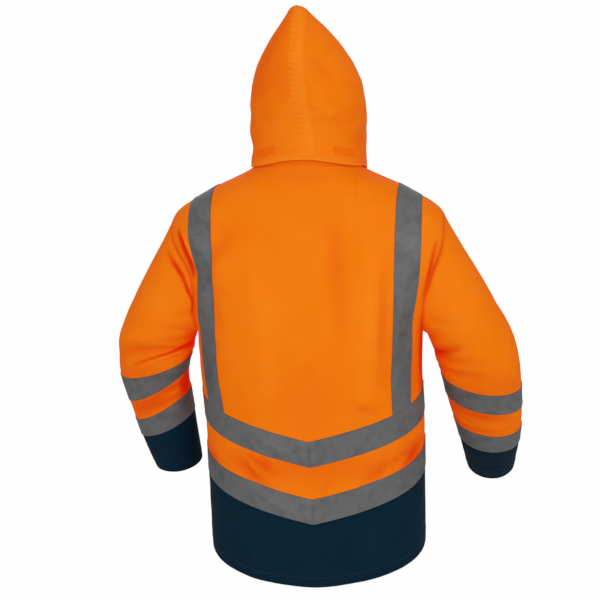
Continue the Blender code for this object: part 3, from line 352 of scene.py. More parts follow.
@dataclass(frozen=True)
class ShellCloth:
    """Coated woven cloth whose hollows turn a deeper colour, as light bounces between their walls."""

    name: str
    colour: Colour
    # colour of the painted shade in troughs, in the lee of folds, along seams, in stitch grooves and in puckers
    hollow: Colour
    # paler tone for random patches, the turned bands and the painted highlight on ridges
    pale: Colour
    roughness: float
    shine: float
    thread: float = 0.0009
    pucker_pitch: float = 0.010
    stitched: float = 0.0020  # how far inside a turned band its stitches pull it in
    relief: float = 0.00022
    # painted red glow that the cloth gives off in shade as in light; inner_glow is the weaker one on its inside
    glow: Colour = (0.0, 0.0, 0.0)
    inner_glow: Colour = (0.0, 0.0, 0.0)

    def material(self) -> bpy.types.Material:
        """Builds the material."""
        shader = Shader(self.name)
        across, up, place = shader.cloth_place()
        turns = math.tau / self.thread
        weave = (across * turns).sine() * (up * turns).sine()
        grain = shader.noise(place, 900.0, 1.0)
        mottle = shader.noise(place, 34.0, 3.0)
        patches = shader.noise(place, 7.0, 2.0)
        # painted shade of troughs and folds, and painted highlight of ridges
        depth = shader.attribute("hollow").held()
        crown = shader.attribute("crown").held()
        # paler in random patches, with a painted highlight on ridges
        tone = shader.mix(self.colour, self.pale, (mottle * 0.5 + patches * 0.9 + crown * 0.5 - 0.45).held())
        # painted shade in troughs and in the lee of folds
        tone = shader.mix(tone, self.hollow, (depth * 0.9 + (mottle - 0.5) * 0.12).held())
        # painted shade along seams
        tone = shader.mix(tone, self.hollow, shader.attribute("seam").held() * 0.35)
        past = shader.attribute("fell")
        fell = (past * 700.0 + 0.5).held()
        dent = (1.0 - (past - self.stitched).size() * 1400.0).held()
        tone = shader.mix(tone, self.pale, fell * 0.55)
        # painted shade in the groove that the stitches pull in
        tone = shader.mix(tone, self.hollow, dent * 0.10)
        height = weave * 0.35 + grain * 0.5 + mottle * 4.5 + fell * 1.8 - dent * 0.9
        pucker = (up * (math.tau / self.pucker_pitch) + mottle * 5.0).sine() * shader.attribute("pucker")
        # painted shade in the troughs of the puckers
        tone = shader.mix(tone, self.hollow, (pucker * 0.10).held())
        return shader.dress(
            Base_Color=tone,
            Roughness=(mottle * 0.10 + (self.roughness - 0.05)).held(),
            Normal=shader.bump(height + pucker * 3.0, self.relief, 0.8),
            Specular_IOR_Level=self.shine,
            Emission_Color=shader.mix(self.inner_glow, self.glow, shader.attribute("outer").held()),
            Emission_Strength=1.0 if any(self.glow) else 0.0,
        )


@dataclass(frozen=True)
class ReflectiveTape:
    """Grey glass-bead tape: a fine even grain, faint cross lines and a slightly scuffed tone."""

    name: str = "grey_reflective_tape"
    colour: Colour = (0.112, 0.113, 0.112)
    pale: Colour = (0.150, 0.151, 0.150)
    dark: Colour = (0.068, 0.070, 0.073)
    bead: float = 0.0006
    rib: float = 0.0024
    relief: float = 0.00016

    def material(self) -> bpy.types.Material:
        """Builds the material."""
        shader = Shader(self.name)
        across, up, place = shader.cloth_place()
        beads = shader.noise(place, 1.0 / self.bead, 0.0)
        scuff = shader.noise(place, 26.0, 4.0)
        wide = shader.noise(place, 6.0, 2.0)
        # painted shade in troughs and painted highlight on ridges, over random scuffs and patches
        depth = shader.attribute("hollow").held()
        crown = shader.attribute("crown").held()
        crumple = shader.noise(place, 70.0, 3.0)
        tone = shader.mix(self.colour, self.pale, (wide * 1.6 + crumple * 1.4 + crown * 0.5 - 1.20).held())
        tone = shader.mix(tone, self.dark, (depth * 0.8 + (scuff - 0.48) * 2.6).held())
        # painted shade along seams
        tone = shader.mix(tone, self.dark, shader.attribute("seam").held() * 0.35)
        turns = math.tau / self.rib
        ribs = (up * turns).sine() * 0.2 + (across * turns).sine() * 0.1
        height = beads * 0.6 + ribs + scuff * 9.0 + crumple * 6.0
        return shader.dress(
            Base_Color=tone,
            Roughness=(scuff * 0.16 + 0.42).held(),
            Normal=shader.bump(height, self.relief, 0.7),
            Specular_IOR_Level=0.2,
        )


@dataclass(frozen=True)
class LoopPile:
    """Fuzzy loop side of a hook-and-loop fastener."""

    name: str
    colour: Colour
    dark: Colour
    # painted red glow that the pile gives off in shade as in light
    glow: Colour

    def material(self) -> bpy.types.Material:
        """Builds the material."""
        shader = Shader(self.name)
        _, _, place = shader.cloth_place()
        loops = shader.noise(place, 1400.0, 2.0)
        clumps = shader.noise(place, 260.0, 3.0)
        return shader.dress(
            Base_Color=shader.mix(self.dark, self.colour, (loops * 0.8 + clumps * 0.4).held()),
            Roughness=0.95,
            Normal=shader.bump(loops * 0.8 + clumps, 0.0005),
            Specular_IOR_Level=0.05,
            Emission_Color=self.glow,
            Emission_Strength=1.0,
        )


@dataclass(frozen=True)
class Moulded:
    """Plain hard or thread-like finish with a little unevenness, placed on Object coordinates."""

    name: str
    colour: Colour
    dark: Colour
    roughness: float
    metallic: float = 0.0
    # painted glow that the finish gives off in shade as in light
    glow: Colour = (0.0, 0.0, 0.0)
    grain: float = 700.0

    def material(self) -> bpy.types.Material:
        """Builds the material."""
        shader = Shader(self.name)
        place = shader.add("ShaderNodeTexCoord").outputs["Object"]
        grain = shader.noise(place, self.grain, 3.0)
        return shader.dress(
            Base_Color=shader.mix(self.dark, self.colour, grain),
            Roughness=(grain * 0.2 + (self.roughness - 0.1)).held(),
            Metallic=self.metallic,
            Emission_Color=self.glow,
            Emission_Strength=1.0 if any(self.glow) else 0.0,
            Normal=shader.bump(grain, 0.00008, 0.6),
        )


def stocked() -> Finishes:
    """Makes every finish of the jacket, by what it is used on."""
    # painted red glow of the fluorescent orange, given off in shade as in light
    glow = (0.40, 0.0, 0.0)
    wanted = {
        # shell cloths: name, colour, painted shade colour, paler tone for patches and painted highlights, roughness
        # and shine
        "orange": ShellCloth(
            "orange_shell", (0.455, 0.178, 0.001), (0.31, 0.010, 0.001), (0.485, 0.235, 0.011), 0.70, 0.03,
            glow=glow, inner_glow=(0.12, 0.0, 0.0),
        ),
        "navy": ShellCloth(
            "navy_shell", (0.0020, 0.0155, 0.0305), (0.0008, 0.0070, 0.0150), (0.0038, 0.0225, 0.0420), 0.60, 0.03,
        ),
        "tape": ReflectiveTape(),
        "hook": LoopPile("orange_loop_pile", (0.45, 0.162, 0.002), (0.39, 0.128, 0.002), glow),
        "zip_tape": ShellCloth("black_zip_tape", (0.012,) * 3, (0.006,) * 3, (0.018,) * 3, 0.75, 0.2),
        "metal": Moulded("dark_slider_metal", (0.16, 0.16, 0.17), (0.10, 0.10, 0.11), 0.36, 1.0),
        "teeth": Moulded("black_zip_teeth", (0.030,) * 3, (0.016,) * 3, 0.38),
        "orange_thread": Moulded("orange_thread", (0.50, 0.185, 0.004), (0.44, 0.140, 0.003), 0.7, glow=glow),
        "navy_thread": Moulded("navy_thread", (0.003, 0.020, 0.038), (0.002, 0.012, 0.026), 0.7),
        "grey_thread": Moulded("grey_thread", (0.20, 0.205, 0.21), (0.13, 0.135, 0.14), 0.6),
    }
    return {use: finish.material() for use, finish in wanted.items()}


# ---- Creases ----


SHADE_DEPTH = 0.016  # depth of a trough that takes on the whole painted shade
RIDGE_HIGHLIGHT_HEIGHT = 0.008  # height of a ridge that takes on the whole painted highlight
PUCKER_REACH = 0.010  # how far from an edge its puckers reach
LIP_AWAY, LIP_WIDTH = 1.9, 1.1  # place and width of the ridge beside a trough, in widths of the trough
START_WIDTH, END_WIDTH = 0.75, 1.25  # width of a fading crease at its ends, in its stated widths
FADE_HELD = (0.02, 0.98)  # keeps a little depth at the very ends of a fading crease


@dataclass(frozen=True)
class Crease:
    """A soft trough or ridge along a line that bends, deepest near its middle and lost at its ends."""

    start: tuple[float, float]
    end: tuple[float, float]
    width: float
    depth: float  # below 0 for a trough
    bend: float = 0.0  # how far the middle bows sideways, as a share of the length
    lip: float = 0.0  # height of the ridge pushed up beside a trough, as a share of its depth
    ends: float = 0.0  # share of the depth that is left at its ends

    def height(self, u: Array, v: Array, scale: Values = 1.0) -> Array:
        """How far the crease moves the cloth.

        Args:
            u: Places across the cloth.
            v: Places up the cloth.
            scale: Metres to one unit of u.

        Returns:
            Height outwards at each place, in metres.
        """
        across, up = (self.end[0] - self.start[0]) * scale, self.end[1] - self.start[1]
        du, dv = (u - self.start[0]) * scale, v - self.start[1]
        length2 = across * across + up * up
        length = np.sqrt(length2)
        share = (du * across + dv * up) / length2
        held = np.clip(share, 0.0, 1.0)
        side = (du * up - dv * across) / length
        side = side - self.bend * length * 4 * held * (1 - held)
        past = (share - held) * length
        fade = self.ends + (1 - self.ends) * np.sin(math.pi * np.clip(held, *FADE_HELD))
        width = self.width if self.ends else self.width * (START_WIDTH + (END_WIDTH - START_WIDTH) * held)
        core = np.exp(-(side**2 + past**2) / width**2)
        beside = np.exp(-((side - LIP_AWAY * width) ** 2 + past**2) / (LIP_WIDTH * width) ** 2)
        return self.depth * fade * (core - self.lip * beside)


def creases(*rows: tuple, ends: float = 0.0) -> list[Crease]:
    """Makes creases from rows.

    Args:
        rows: Start and end as two pairs of places, width and depth in millimetres, then bend and lip unless 0.
        ends: Share of the depth that is left at the ends.

    Returns:
        The creases.
    """
    return [Crease((u, v), (to_u, to_v), width / 1000, depth / 1000, *shape, ends=ends)
            for u, v, to_u, to_v, width, depth, *shape in rows]


def shades(*rows: tuple) -> list[Crease]:
    """Makes soft places of painted shade, as in the lee of a fold.

    Args:
        rows: Start and end as two pairs of places, width in millimetres, strength in percent, and bend unless 0.

    Returns:
        The places, whose height is the strength from 0 to 1.
    """
    return [Crease((u, v), (to_u, to_v), width / 1000, strength / 100, *bend, ends=0.4)
            for u, v, to_u, to_v, width, strength, *bend in rows]


def heights(places: list[Crease], u: Array, v: Array, scale: Values = 1.0) -> Array:
    """Sum of several creases."""
    return sum(place.height(u, v, scale) for place in places)


def shade_of(crease: Array, places: list[Crease], u: Array, v: Array,
             scale: Values = 1.0) -> Array:
    """How much painted shade the cloth takes, from 0 to 1, in its troughs and in the listed places."""
    return np.clip(-crease / SHADE_DEPTH + heights(places, u, v, scale), 0.0, 1.0)


# ---- Cloth ----


@dataclass
class Gauge:
    """Thicknesses of the cloth and the air at its seams."""

    cloth: float = 0.0018
    tape: float = 0.0010
    gap: float = 0.0003  # air under a strip, and at the seams of the sleeves, collar and zip
    sewn: float = 0.00002  # what is left open in the seams of the body and the hood


@dataclass
class ClothGrid:
    """A fine grid of cloth with its outward normals, rows from the bottom up unless it is a tube's."""

    points: Array
    normals: Array
    wrap: bool = False
    crease: Array | None = None  # how far the creases moved the cloth
    shade: Array | None = None  # painted shade of each place, from 0 to 1, by how deep in a fold it lies

    def patch(self, rows: slice, columns: slice = slice(None)) -> "ClothGrid":
        """A part of the grid."""
        crease, shade = (None if layer is None else layer[rows, columns] for layer in (self.crease, self.shade))
        wrap = self.wrap and columns == slice(None)
        return ClothGrid(self.points[rows, columns].copy(), self.normals[rows, columns].copy(), wrap, crease, shade)

    def trimmed(self, edges: str, amount: float) -> "ClothGrid":
        """Moves the named edges inwards along the cloth.

        Args:
            edges: Any of bottom, top, left and right.
            amount: How far, in metres.

        Returns:
            The trimmed grid.
        """
        p = self.points.copy()
        ends = {
            "bottom": ((0, slice(None)), (1, slice(None))),
            "top": ((-1, slice(None)), (-2, slice(None))),
            "left": ((slice(None), 0), (slice(None), 1)),
            "right": ((slice(None), -1), (slice(None), -2)),
        }
        for edge in edges.split():
            outer, inner = ends[edge]
            p[outer] += unit(self.points[inner] - self.points[outer]) * amount
        return replace(self, points=p)

    def raised(self, amount: float | Array) -> "ClothGrid":
        """Moves the whole grid outwards."""
        step = amount if np.isscalar(amount) else amount[..., None]
        return replace(self, points=self.points + self.normals * step)

    def place(self) -> tuple[Array, Array]:
        """Distance across from the middle column and up from the first row, in metres."""
        across = np.linalg.norm(np.diff(self.points, axis=1), axis=2)
        u = np.concatenate([np.zeros((len(across), 1)), np.cumsum(across, axis=1)], axis=1)
        u -= u[:, [u.shape[1] // 2]]
        up = np.linalg.norm(np.diff(self.points, axis=0), axis=2)
        v = np.concatenate([np.zeros((1, up.shape[1])), np.cumsum(up, axis=0)], axis=0)
        return u, v

    def from_edge(self, edge: str) -> Array:
        """Distance from the bottom, top, left or right edge, in metres."""
        u, v = self.place()
        return {"bottom": v, "top": v[-1:] - v, "left": u - u[:, :1], "right": u[:, -1:] - u}[edge]

    def edge_distance(self) -> Array:
        """Distance from the nearest edge of the piece, in metres."""
        edges = ("bottom", "top") if self.wrap else ("bottom", "top", "left", "right")
        return np.maximum(np.min([self.from_edge(edge) for edge in edges], axis=0), 0.0)

    def closed_points(self) -> Array:
        """The points, with a tube's first column once more at its end."""
        return np.concatenate([self.points, self.points[:, :1]], axis=1) if self.wrap else self.points

    def area(self) -> float:
        """Area of the grid in square metres."""
        p = self.closed_points()
        a, b, c, d = p[:-1, :-1], p[:-1, 1:], p[1:, 1:], p[1:, :-1]
        halves = np.linalg.norm(np.cross(b - a, c - a), axis=2) + np.linalg.norm(np.cross(c - a, d - a), axis=2)
        return float(halves.sum() / 2)

    def cut(self) -> tuple[float, float]:
        """Width and length that a rectangle around the cut would have."""
        p = self.closed_points()
        width = np.linalg.norm(np.diff(p, axis=1), axis=2).sum(axis=1).max()
        length = np.linalg.norm(np.diff(p, axis=0), axis=2).sum(axis=0).max()
        return float(width), float(length)


@dataclass
class Piece:
    """A finished piece with the nodes that it stands for and what its finish is called."""

    thing: bpy.types.Object
    stands_for: tuple[str, ...]
    slot: str
    grid: ClothGrid | None = None
    held: str = "draped"
    rests_on: tuple[str, ...] = ()
    body: str = ROOT


def placed(name: str, data: bpy.types.ID) -> bpy.types.Object:
    """Makes an object of some data and links it to the scene."""
    thing = bpy.data.objects.new(name, data)
    bpy.context.scene.collection.objects.link(thing)
    return thing


def mesh_object(name: str, points: Array, faces: list | Array) -> bpy.types.Object:
    """Makes an object at the origin from points and faces."""
    mesh = bpy.data.meshes.new(name)
    mesh.from_pydata(np.asarray(points, float).tolist(), [], np.asarray(faces).tolist() if len(faces) else [])
    mesh.update()
    return placed(name, mesh)


def joined(name: str, things: list[bpy.types.Object]) -> bpy.types.Object:
    """Joins several objects into the first one."""
    with bpy.context.temp_override(active_object=things[0], selected_editable_objects=things):
        bpy.ops.object.join()
    things[0].name = things[0].data.name = name
    return things[0]


@dataclass
class Weaver:
    """Turns grids into closed walls of cloth with their places and creases written on them."""

    finishes: Finishes
    gauge: Gauge = field(default_factory=Gauge)

    def panel(self, node: str, grid: ClothGrid, finish: str, rests_on: tuple[str, ...], **looks: object) -> Piece:
        """Makes a panel of shell cloth.

        Args:
            node: The CAD node that it stands for.
            grid: Its outside, already trimmed.
            finish: Name of its finish.
            rests_on: The nodes that hold it.
            looks: What wall takes besides.

        Returns:
            The panel.
        """
        thing = self.wall("cloth_" + node, grid, self.gauge.cloth, finish, **looks)
        return Piece(thing, (node,), finish + "_cloth", grid, rests_on=rests_on)

    def strip(self, node: str, grid: ClothGrid, edges: str, gap: float, under: str, finish: str = "tape",
              slot: str = "reflective_tape", seam: float = 0.0022) -> Piece:
        """Lays a strip of tape on a panel.

        Args:
            node: The CAD node that it stands for.
            grid: The stretch of the panel under it.
            edges: The edges at which it is trimmed.
            gap: What is left open to the next piece there.
            under: The node of the panel.
            finish: Name of its finish.
            slot: What its finish is called.
            seam: How far from an edge the painted shade of its seam reaches.

        Returns:
            The strip.
        """
        raised = grid.trimmed(edges, gap / 2).raised(self.gauge.gap + self.gauge.tape)
        thing = self.wall("cloth_" + node, raised, self.gauge.tape, finish, seam)
        return Piece(thing, (node,), slot, raised, rests_on=(under,))

    def wall(self, name: str, grid: ClothGrid, thickness: float, finish: str, seam: float = 0.004,
             pucker: float = 0.0, fells: dict[str, float] | None = None) -> bpy.types.Object:
        """Makes a wall whose outside is the grid.

        Args:
            name: Name of the piece.
            grid: Outside of the cloth.
            thickness: Wall of the cloth in metres.
            finish: Name of its finish.
            seam: How far from an edge the painted shade of its seam reaches, or 0 for none.
            pucker: Strength of the puckers along its edges.
            fells: Widths of the turned and topstitched bands along its named edges.

        Returns:
            The new object.
        """
        rows, count = grid.points.shape[:2]
        inner = grid.points - grid.normals * thickness
        points = np.concatenate([grid.points.reshape(-1, 3), inner.reshape(-1, 3)])
        index = np.arange(rows * count).reshape(rows, count)
        shift = rows * count
        right = np.roll(index, -1, axis=1) if grid.wrap else index[:, 1:]
        left = index if grid.wrap else index[:, :-1]
        quads = np.stack([left[:-1], right[:-1], right[1:], left[1:]], axis=-1).reshape(-1, 4)
        rims = []
        for start, end, ahead in ((left[0], right[0], False), (left[-1], right[-1], True),
                                  (index[:-1, 0], index[1:, 0], True), (index[:-1, -1], index[1:, -1], False)):
            edge = np.stack([start, end] if ahead else [end, start], axis=-1)
            rims.append(np.concatenate([edge, edge[:, ::-1] + shift], axis=1))
        faces = np.concatenate([quads, quads[:, ::-1] + shift, *rims[: 2 if grid.wrap else 4]])
        a, b, c = points[index[0, 0]], points[index[0, 1]], points[index[1, 0]]
        if np.cross(b - a, c - a) @ grid.normals[0, 0] < 0:
            faces = faces[:, ::-1]
        thing = mesh_object(name, points, faces)
        mesh = thing.data
        mesh.shade_smooth()
        corners = np.empty(len(mesh.loops), np.int32)
        mesh.loops.foreach_get("vertex_index", corners)
        self.set_normals(mesh, grid, corners, len(quads) * 2)
        place = np.stack([np.tile(values.ravel(), 2) for values in grid.place()], axis=1)
        mesh.uv_layers.new(name="cloth").data.foreach_set("uv", place[corners].astype(np.float32).ravel())
        self.write_tones(mesh, grid, seam, pucker, fells or {})
        mesh.materials.append(self.finishes[finish])
        return thing

    @staticmethod
    def set_normals(mesh: bpy.types.Mesh, grid: ClothGrid, corners: Array, first_rim: int) -> None:
        """Gives both faces of the wall the grid's own normals and leaves its cut edges sharp."""
        flat = np.empty(len(mesh.polygons) * 3, np.float32)
        mesh.polygons.foreach_get("normal", flat)
        outward = grid.normals.reshape(-1, 3)
        normals = np.concatenate([outward, -outward])[corners]
        normals[first_rim * 4 :] = np.repeat(flat.reshape(-1, 3)[first_rim:], 4, axis=0)
        mesh.normals_split_custom_set(normals.tolist())

    @staticmethod
    def write_tones(mesh: bpy.types.Mesh, grid: ClothGrid, seam: float, pucker: float,
                    fells: dict[str, float]) -> None:
        """Stores each place's painted shade and painted highlight, how near a seam it is for the seam's painted
        shade, and how far inside a band along an edge.
        """
        crease = grid.crease if grid.crease is not None else np.zeros(grid.points.shape[:2])
        edge = grid.edge_distance()
        tones = {
            "hollow": grid.shade if grid.shade is not None else np.clip(-crease / SHADE_DEPTH, 0.0, 1.0),
            "crown": np.clip(crease / RIDGE_HIGHLIGHT_HEIGHT, 0.0, 1.0),
            "seam": np.exp(-((edge / seam) ** 2)) if seam else np.zeros(edge.shape),
            "pucker": pucker * np.exp(-((edge / PUCKER_REACH) ** 2)),
            "fell": np.max([np.full(edge.shape, -0.02)] + [w - grid.from_edge(e) for e, w in fells.items()], axis=0),
        }
        written = {key: np.tile(values.ravel(), 2) for key, values in tones.items()}
        written["outer"] = np.repeat([1.0, 0.0], edge.size)
        for key, values in written.items():
            layer = mesh.attributes.new(key, "FLOAT", "POINT")
            layer.data.foreach_set("value", values.astype(np.float32))


# ---- Form of the body ----


@dataclass
class BodyForm:
    """The body of the jacket as level sections, with the seams and tapes as rows and columns of its grids."""

    neck_half: float = 0.103
    shoulder_drop: float = -0.107
    underarm: float = -0.337
    armhole_reach: dict = field(default_factory=lambda: {Face.BACK: 0.070, Face.FRONT: 0.075})
    hem: float = -0.813
    lower_tape: tuple[float, float] = (-0.682, -0.631)
    upper_tape: tuple[float, float] = (-0.567, -0.516)
    chevron_rise: float = 0.076
    hem_rise: float = 0.041
    neck_side_drop: float = 0.018
    neck_front_drop: float = 0.066
    zip_half: float = 0.007
    tape_width: float = 0.050
    dense: int = 241
    sections: Table = field(default_factory=lambda: table(
        "z half back front square",
        (-0.850, 0.2200, 0.1545, 0.1550, 2.35),
        (-0.500, 0.2190, 0.1545, 0.1600, 2.35),
        (-0.337, 0.2215, 0.1500, 0.1620, 2.45),
        (-0.275, 0.2330, 0.1420, 0.1580, 2.60),
        (-0.221, 0.2560, 0.1300, 0.1500, 2.60),
        (-0.160, 0.2760, 0.1150, 0.1370, 2.60),
        (-0.107, 0.2590, 0.1030, 0.1240, 2.50),
        (-0.060, 0.1900, 0.0960, 0.1150, 2.30),
        (-0.018, 0.1030, 0.0880, 0.1050, 2.15),
        (0.000, 0.0800, 0.0840, 0.1000, 2.10),
    ))
    swing: Table = field(default_factory=lambda: table(
        "z turn sway rise",
        (-0.850, 4.0, -0.0095, 0.035),
        (-0.760, 3.8, -0.0085, 0.012),
        (-0.650, 3.5, -0.0075, 0.000),
        (-0.520, 2.0, -0.0060, 0.000),
        (-0.390, 0.0, 0.0000, 0.000),
        (0.000, 0.0, 0.0000, 0.000),
    ))
    brace: Table = field(default_factory=lambda: table(
        "z inner", (-0.480, 0.160), (-0.350, 0.167), (-0.140, 0.171), (0.000, 0.177),
    ))
    neck_shares: tuple = (0.00, 0.17, 0.33, 0.47, 0.56, 0.625, 0.74, 0.87, 1.00)
    neck_corner: int = 5
    above_waist: tuple = (-0.480, -0.430, -0.382)  # rows between the upper tape and the underarm
    waist_ease: float = 0.9  # share of the chevrons' climb that these rows begin with
    row_steps: tuple = (16, 16, 13, 16, 13, 10, 12, 11, 11, *(5,) * 12)  # parts of each gap, from the hem up
    low_rows: int = 5  # gaps between the underarm and the armhole's middle
    high_rows: int = 7  # gaps from there to the shoulder
    search: tuple[float, float] = (0.01, 0.30)  # least and greatest reach of the body above the armhole's middle
    halvings: int = 40  # steps of the search between them
    ceiling: float = 0.02  # height that the body never reaches
    turn_power: int = 6  # how late a curve turns towards the armhole
    column_steps: tuple = (7, 7, 6, 4, 3, 5, 5, 5)
    brace_steps: int = 12
    side_steps: int = 24

    def section(self, z: Array, face: Face) -> tuple[Array, Array, Array]:
        """Half width, depth and squareness at a height."""
        depth = read(self.sections, "back" if face is Face.BACK else "front", z)
        return read(self.sections, "half", z), depth, read(self.sections, "square", z)

    def section_point(self, angle: Array, z: Array, face: Face) -> tuple[Array, Array]:
        """X and Y of a level section at an angle from the middle round to the side."""
        reach = oval_reach(angle, *self.section(z, face))
        return reach * np.abs(np.sin(angle)), face.value * reach * np.abs(np.cos(angle))

    def neck_curve(self, face: Face) -> Array:
        """The neck seam from the middle to the shoulder line."""
        angle = np.linspace(0.0, math.pi / 2, self.dense)
        middle = 0.0 if face is Face.BACK else -self.neck_front_drop
        z = middle + (-self.neck_side_drop - middle) * smooth(angle / (math.pi / 2))
        x, y = self.section_point(angle, z, face)
        y[-1] = 0.0
        return np.stack([x, y, z], axis=1)

    @property
    def armhole_middle(self) -> float:
        """Height of the armhole's middle."""
        return (self.shoulder_drop + self.underarm) / 2

    def armhole_point(self, angle: float, face: Face) -> Array:
        """Point of the armhole at an angle above (+) or below (-) its middle, seen from the side."""
        y = self.armhole_reach[face] * math.cos(angle)
        z = self.armhole_middle + (self.shoulder_drop - self.underarm) / 2 * math.sin(angle)
        half, depth, square = self.section(z, face)
        if math.cos(angle) < 1e-6:
            return np.array([float(half), 0.0, z])
        return np.array([float(half * (1 - (y / depth) ** square) ** (1 / square)), face.value * y, z])

    def level_curve(self, z: float, rise: float, power: float, face: Face) -> Array:
        """Level section from the middle to the side seam, climbing by rise on the way."""
        angle = np.linspace(0.0, math.pi / 2, self.dense)
        x, y = self.section_point(angle, z, face)
        run = np.concatenate([[0.0], np.cumsum(np.hypot(np.diff(x), np.diff(y)))])
        height = z + rise * (run / run[-1]) ** power
        x, y = self.section_point(angle, height, face)
        y[-1] = 0.0
        return np.stack([x, y, height], axis=1)

    def low_curve(self, angle: float, face: Face) -> Array:
        """Level section from the middle to the armhole, below the armhole's middle."""
        end = self.armhole_point(angle, face)
        turn = np.linspace(0.0, math.atan2(end[0], abs(end[1])), self.dense)
        x, y = self.section_point(turn, end[2], face)
        curve = np.stack([x, y, np.full(self.dense, end[2])], axis=1)
        curve[-1] = end
        return curve

    def fan_curve(self, share: float, face: Face) -> Array:
        """Curve from the middle to the armhole, a share of the way up to the shoulder and neck seams."""
        end = self.armhole_point(share * math.pi / 2, face)
        neck = self.neck_curve(face)
        corner = neck[-1]
        x = np.concatenate([neck[:, 0], np.linspace(corner[0], end[0], self.dense)[1:]])
        top_y = np.interp(x, neck[:, 0], np.abs(neck[:, 1]), right=0.0)
        top_z = np.interp(x, neck[:, 0], neck[:, 2], right=corner[2])
        lift = self.armhole_middle
        tilt = share * np.where(x < corner[0], np.arctan2(top_z - lift, top_y), math.pi / 2)
        tilt[-1] = math.atan2(end[2] - lift, abs(end[1]))
        blend = (x / end[0]) ** self.turn_power
        tilt = tilt * (1 - blend) + tilt[-1] * blend
        near, far = (np.full(len(x), reach) for reach in self.search)
        for _ in range(self.halvings):
            reach = (near + far) / 2
            y, z = reach * np.cos(tilt), lift + reach * np.sin(tilt)
            half, depth, square = self.section(z, face)
            outside = ((x / half) ** square + (np.abs(y) / depth) ** square > 1) | (z > self.ceiling)
            far, near = np.where(outside, reach, far), np.where(outside, near, reach)
        curve = np.stack([x, face.value * near * np.cos(tilt), lift + near * np.sin(tilt)], axis=1)
        if share == 1.0:
            shoulder = x > corner[0]
            curve[~shoulder, 1] = face.value * top_y[~shoulder]
            curve[~shoulder, 2] = top_z[~shoulder]
            curve[shoulder, 1] = 0.0
        curve[-1] = end
        return curve

    def level_rows(self) -> Array:
        """Height, climb and its power of the rows from the hem to the underarm."""
        rows = [
            (self.hem, self.hem_rise, 1.5),
            ((self.hem + self.lower_tape[0]) / 2, (self.hem_rise + self.chevron_rise) / 2, 1.25),
        ]
        rows += [(z, self.chevron_rise, 1.0) for z in (*self.lower_tape, *self.upper_tape)]
        last = self.upper_tape[1]
        for z in self.above_waist:
            share = smooth((self.underarm - z) / (self.underarm - last))
            rows.append((z, float(self.chevron_rise * share * self.waist_ease), 1.0))
        rows.append((self.underarm, 0.0, 1.0))
        return np.array(rows)

    def curves(self, face: Face) -> list[Array]:
        """Every fine row from the hem to the neck and shoulder seams."""
        levels, steps = self.level_rows(), self.row_steps
        under = len(levels) - 1
        middle = under + self.low_rows
        fine = np.stack([spans(column, steps[:under]) for column in levels.T], axis=1)
        made = [self.level_curve(z, rise, power, face) for z, rise, power in fine[:-1]]
        low = spans(np.linspace(-math.pi / 2, 0.0, self.low_rows + 1), steps[under:middle])
        made += [self.low_curve(angle, face) for angle in low]
        high = spans(np.linspace(0.0, 1.0, self.high_rows + 1), steps[middle:])
        return made + [self.fan_curve(share, face) for share in high[1:]]

    def row(self, name: str) -> int:
        """Index of a named row of the fine grid, or of its top row."""
        names = "hem hem_middle lower_start lower_end upper_start upper_end waist ribs chest underarm".split()
        return int(sum(self.row_steps[: None if name == "top" else names.index(name)]))

    def columns(self, curve: Array, face: Face) -> Array:
        """Points of one fine row: middle to brace, across the brace, and on to the side."""
        run = run_of(curve)
        inner = float(read(self.brace, "inner", curve[:, 2].mean()))
        xs = [share * inner for share in self.neck_shares]
        xs[self.neck_corner] = self.neck_half
        steps = list(self.column_steps)
        if face is Face.FRONT:
            xs.insert(1, self.zip_half)
            steps.insert(0, 2)
        near = np.interp(spans(xs, steps), curve[:, 0], run)
        across = near[-1] + np.linspace(0.0, self.tape_width, self.brace_steps + 1)[1:]
        outer = np.linspace(across[-1], run[-1], self.side_steps + 1)[1:]
        return at_run(curve, run, np.concatenate([near, across, outer]))

    def column(self, name: str, face: Face) -> int:
        """How many columns a named place is from the middle."""
        extra = 2 if face is Face.FRONT else 0
        corner = extra + int(sum(self.column_steps[: self.neck_corner]))
        inner = extra + int(sum(self.column_steps))
        return {"zip": extra, "corner": corner, "brace_in": inner, "brace_out": inner + self.brace_steps}[name]

    def hung(self, points: Array) -> Array:
        """Turns, sways and lifts the skirt of the jacket."""
        moved = swung(points, self.swing)
        moved[..., 2] += read(self.swing, "rise", points[..., 2]) * np.maximum(-points[..., 0], 0.0)
        return moved


def grid_normals(points: Array, wrap: bool = False) -> Array:
    """Unit normals of a grid, not yet turned outwards."""
    if wrap:
        across = np.roll(points, -1, axis=1) - np.roll(points, 1, axis=1)
    else:
        across = np.gradient(points, axis=1)
    return unit(np.cross(across, np.gradient(points, axis=0)))


MAIN_FOLDS = {
    Face.BACK: creases(
        # x z to_x to_z width depth bend lip
        (0.125, -0.130, 0.205, -0.205, 16, -4.0),
        (0.185, -0.175, 0.160, -0.330, 18, -4.5),
        (-0.060, -0.090, -0.075, -0.330, 20, -3.5),
        (-0.135, -0.170, -0.120, -0.430, 18, 3.5),
        (0.080, -0.200, 0.060, -0.440, 22, 3.0),
        (-0.205, -0.250, -0.170, -0.400, 16, -4.5),
        (0.150, -0.560, 0.090, -0.610, 14, -4.5),
        (-0.150, -0.570, -0.100, -0.600, 14, -4.0),
        (0.110, -0.700, 0.120, -0.810, 24, 4.0),
        (-0.060, -0.720, -0.070, -0.810, 24, -4.0),
        ends=0.35,
    ),
    Face.FRONT: creases(
        # x z to_x to_z width depth bend lip
        (0.130, -0.150, 0.190, -0.260, 18, -4.5),
        (-0.130, -0.150, -0.195, -0.270, 18, -4.5),
        (0.090, -0.220, 0.085, -0.460, 22, 3.5),
        (-0.100, -0.240, -0.080, -0.470, 22, 3.5),
        (0.120, -0.590, 0.090, -0.620, 14, -3.5),
        (-0.100, -0.700, -0.110, -0.800, 24, 4.0),
        ends=0.35,
    ),
}

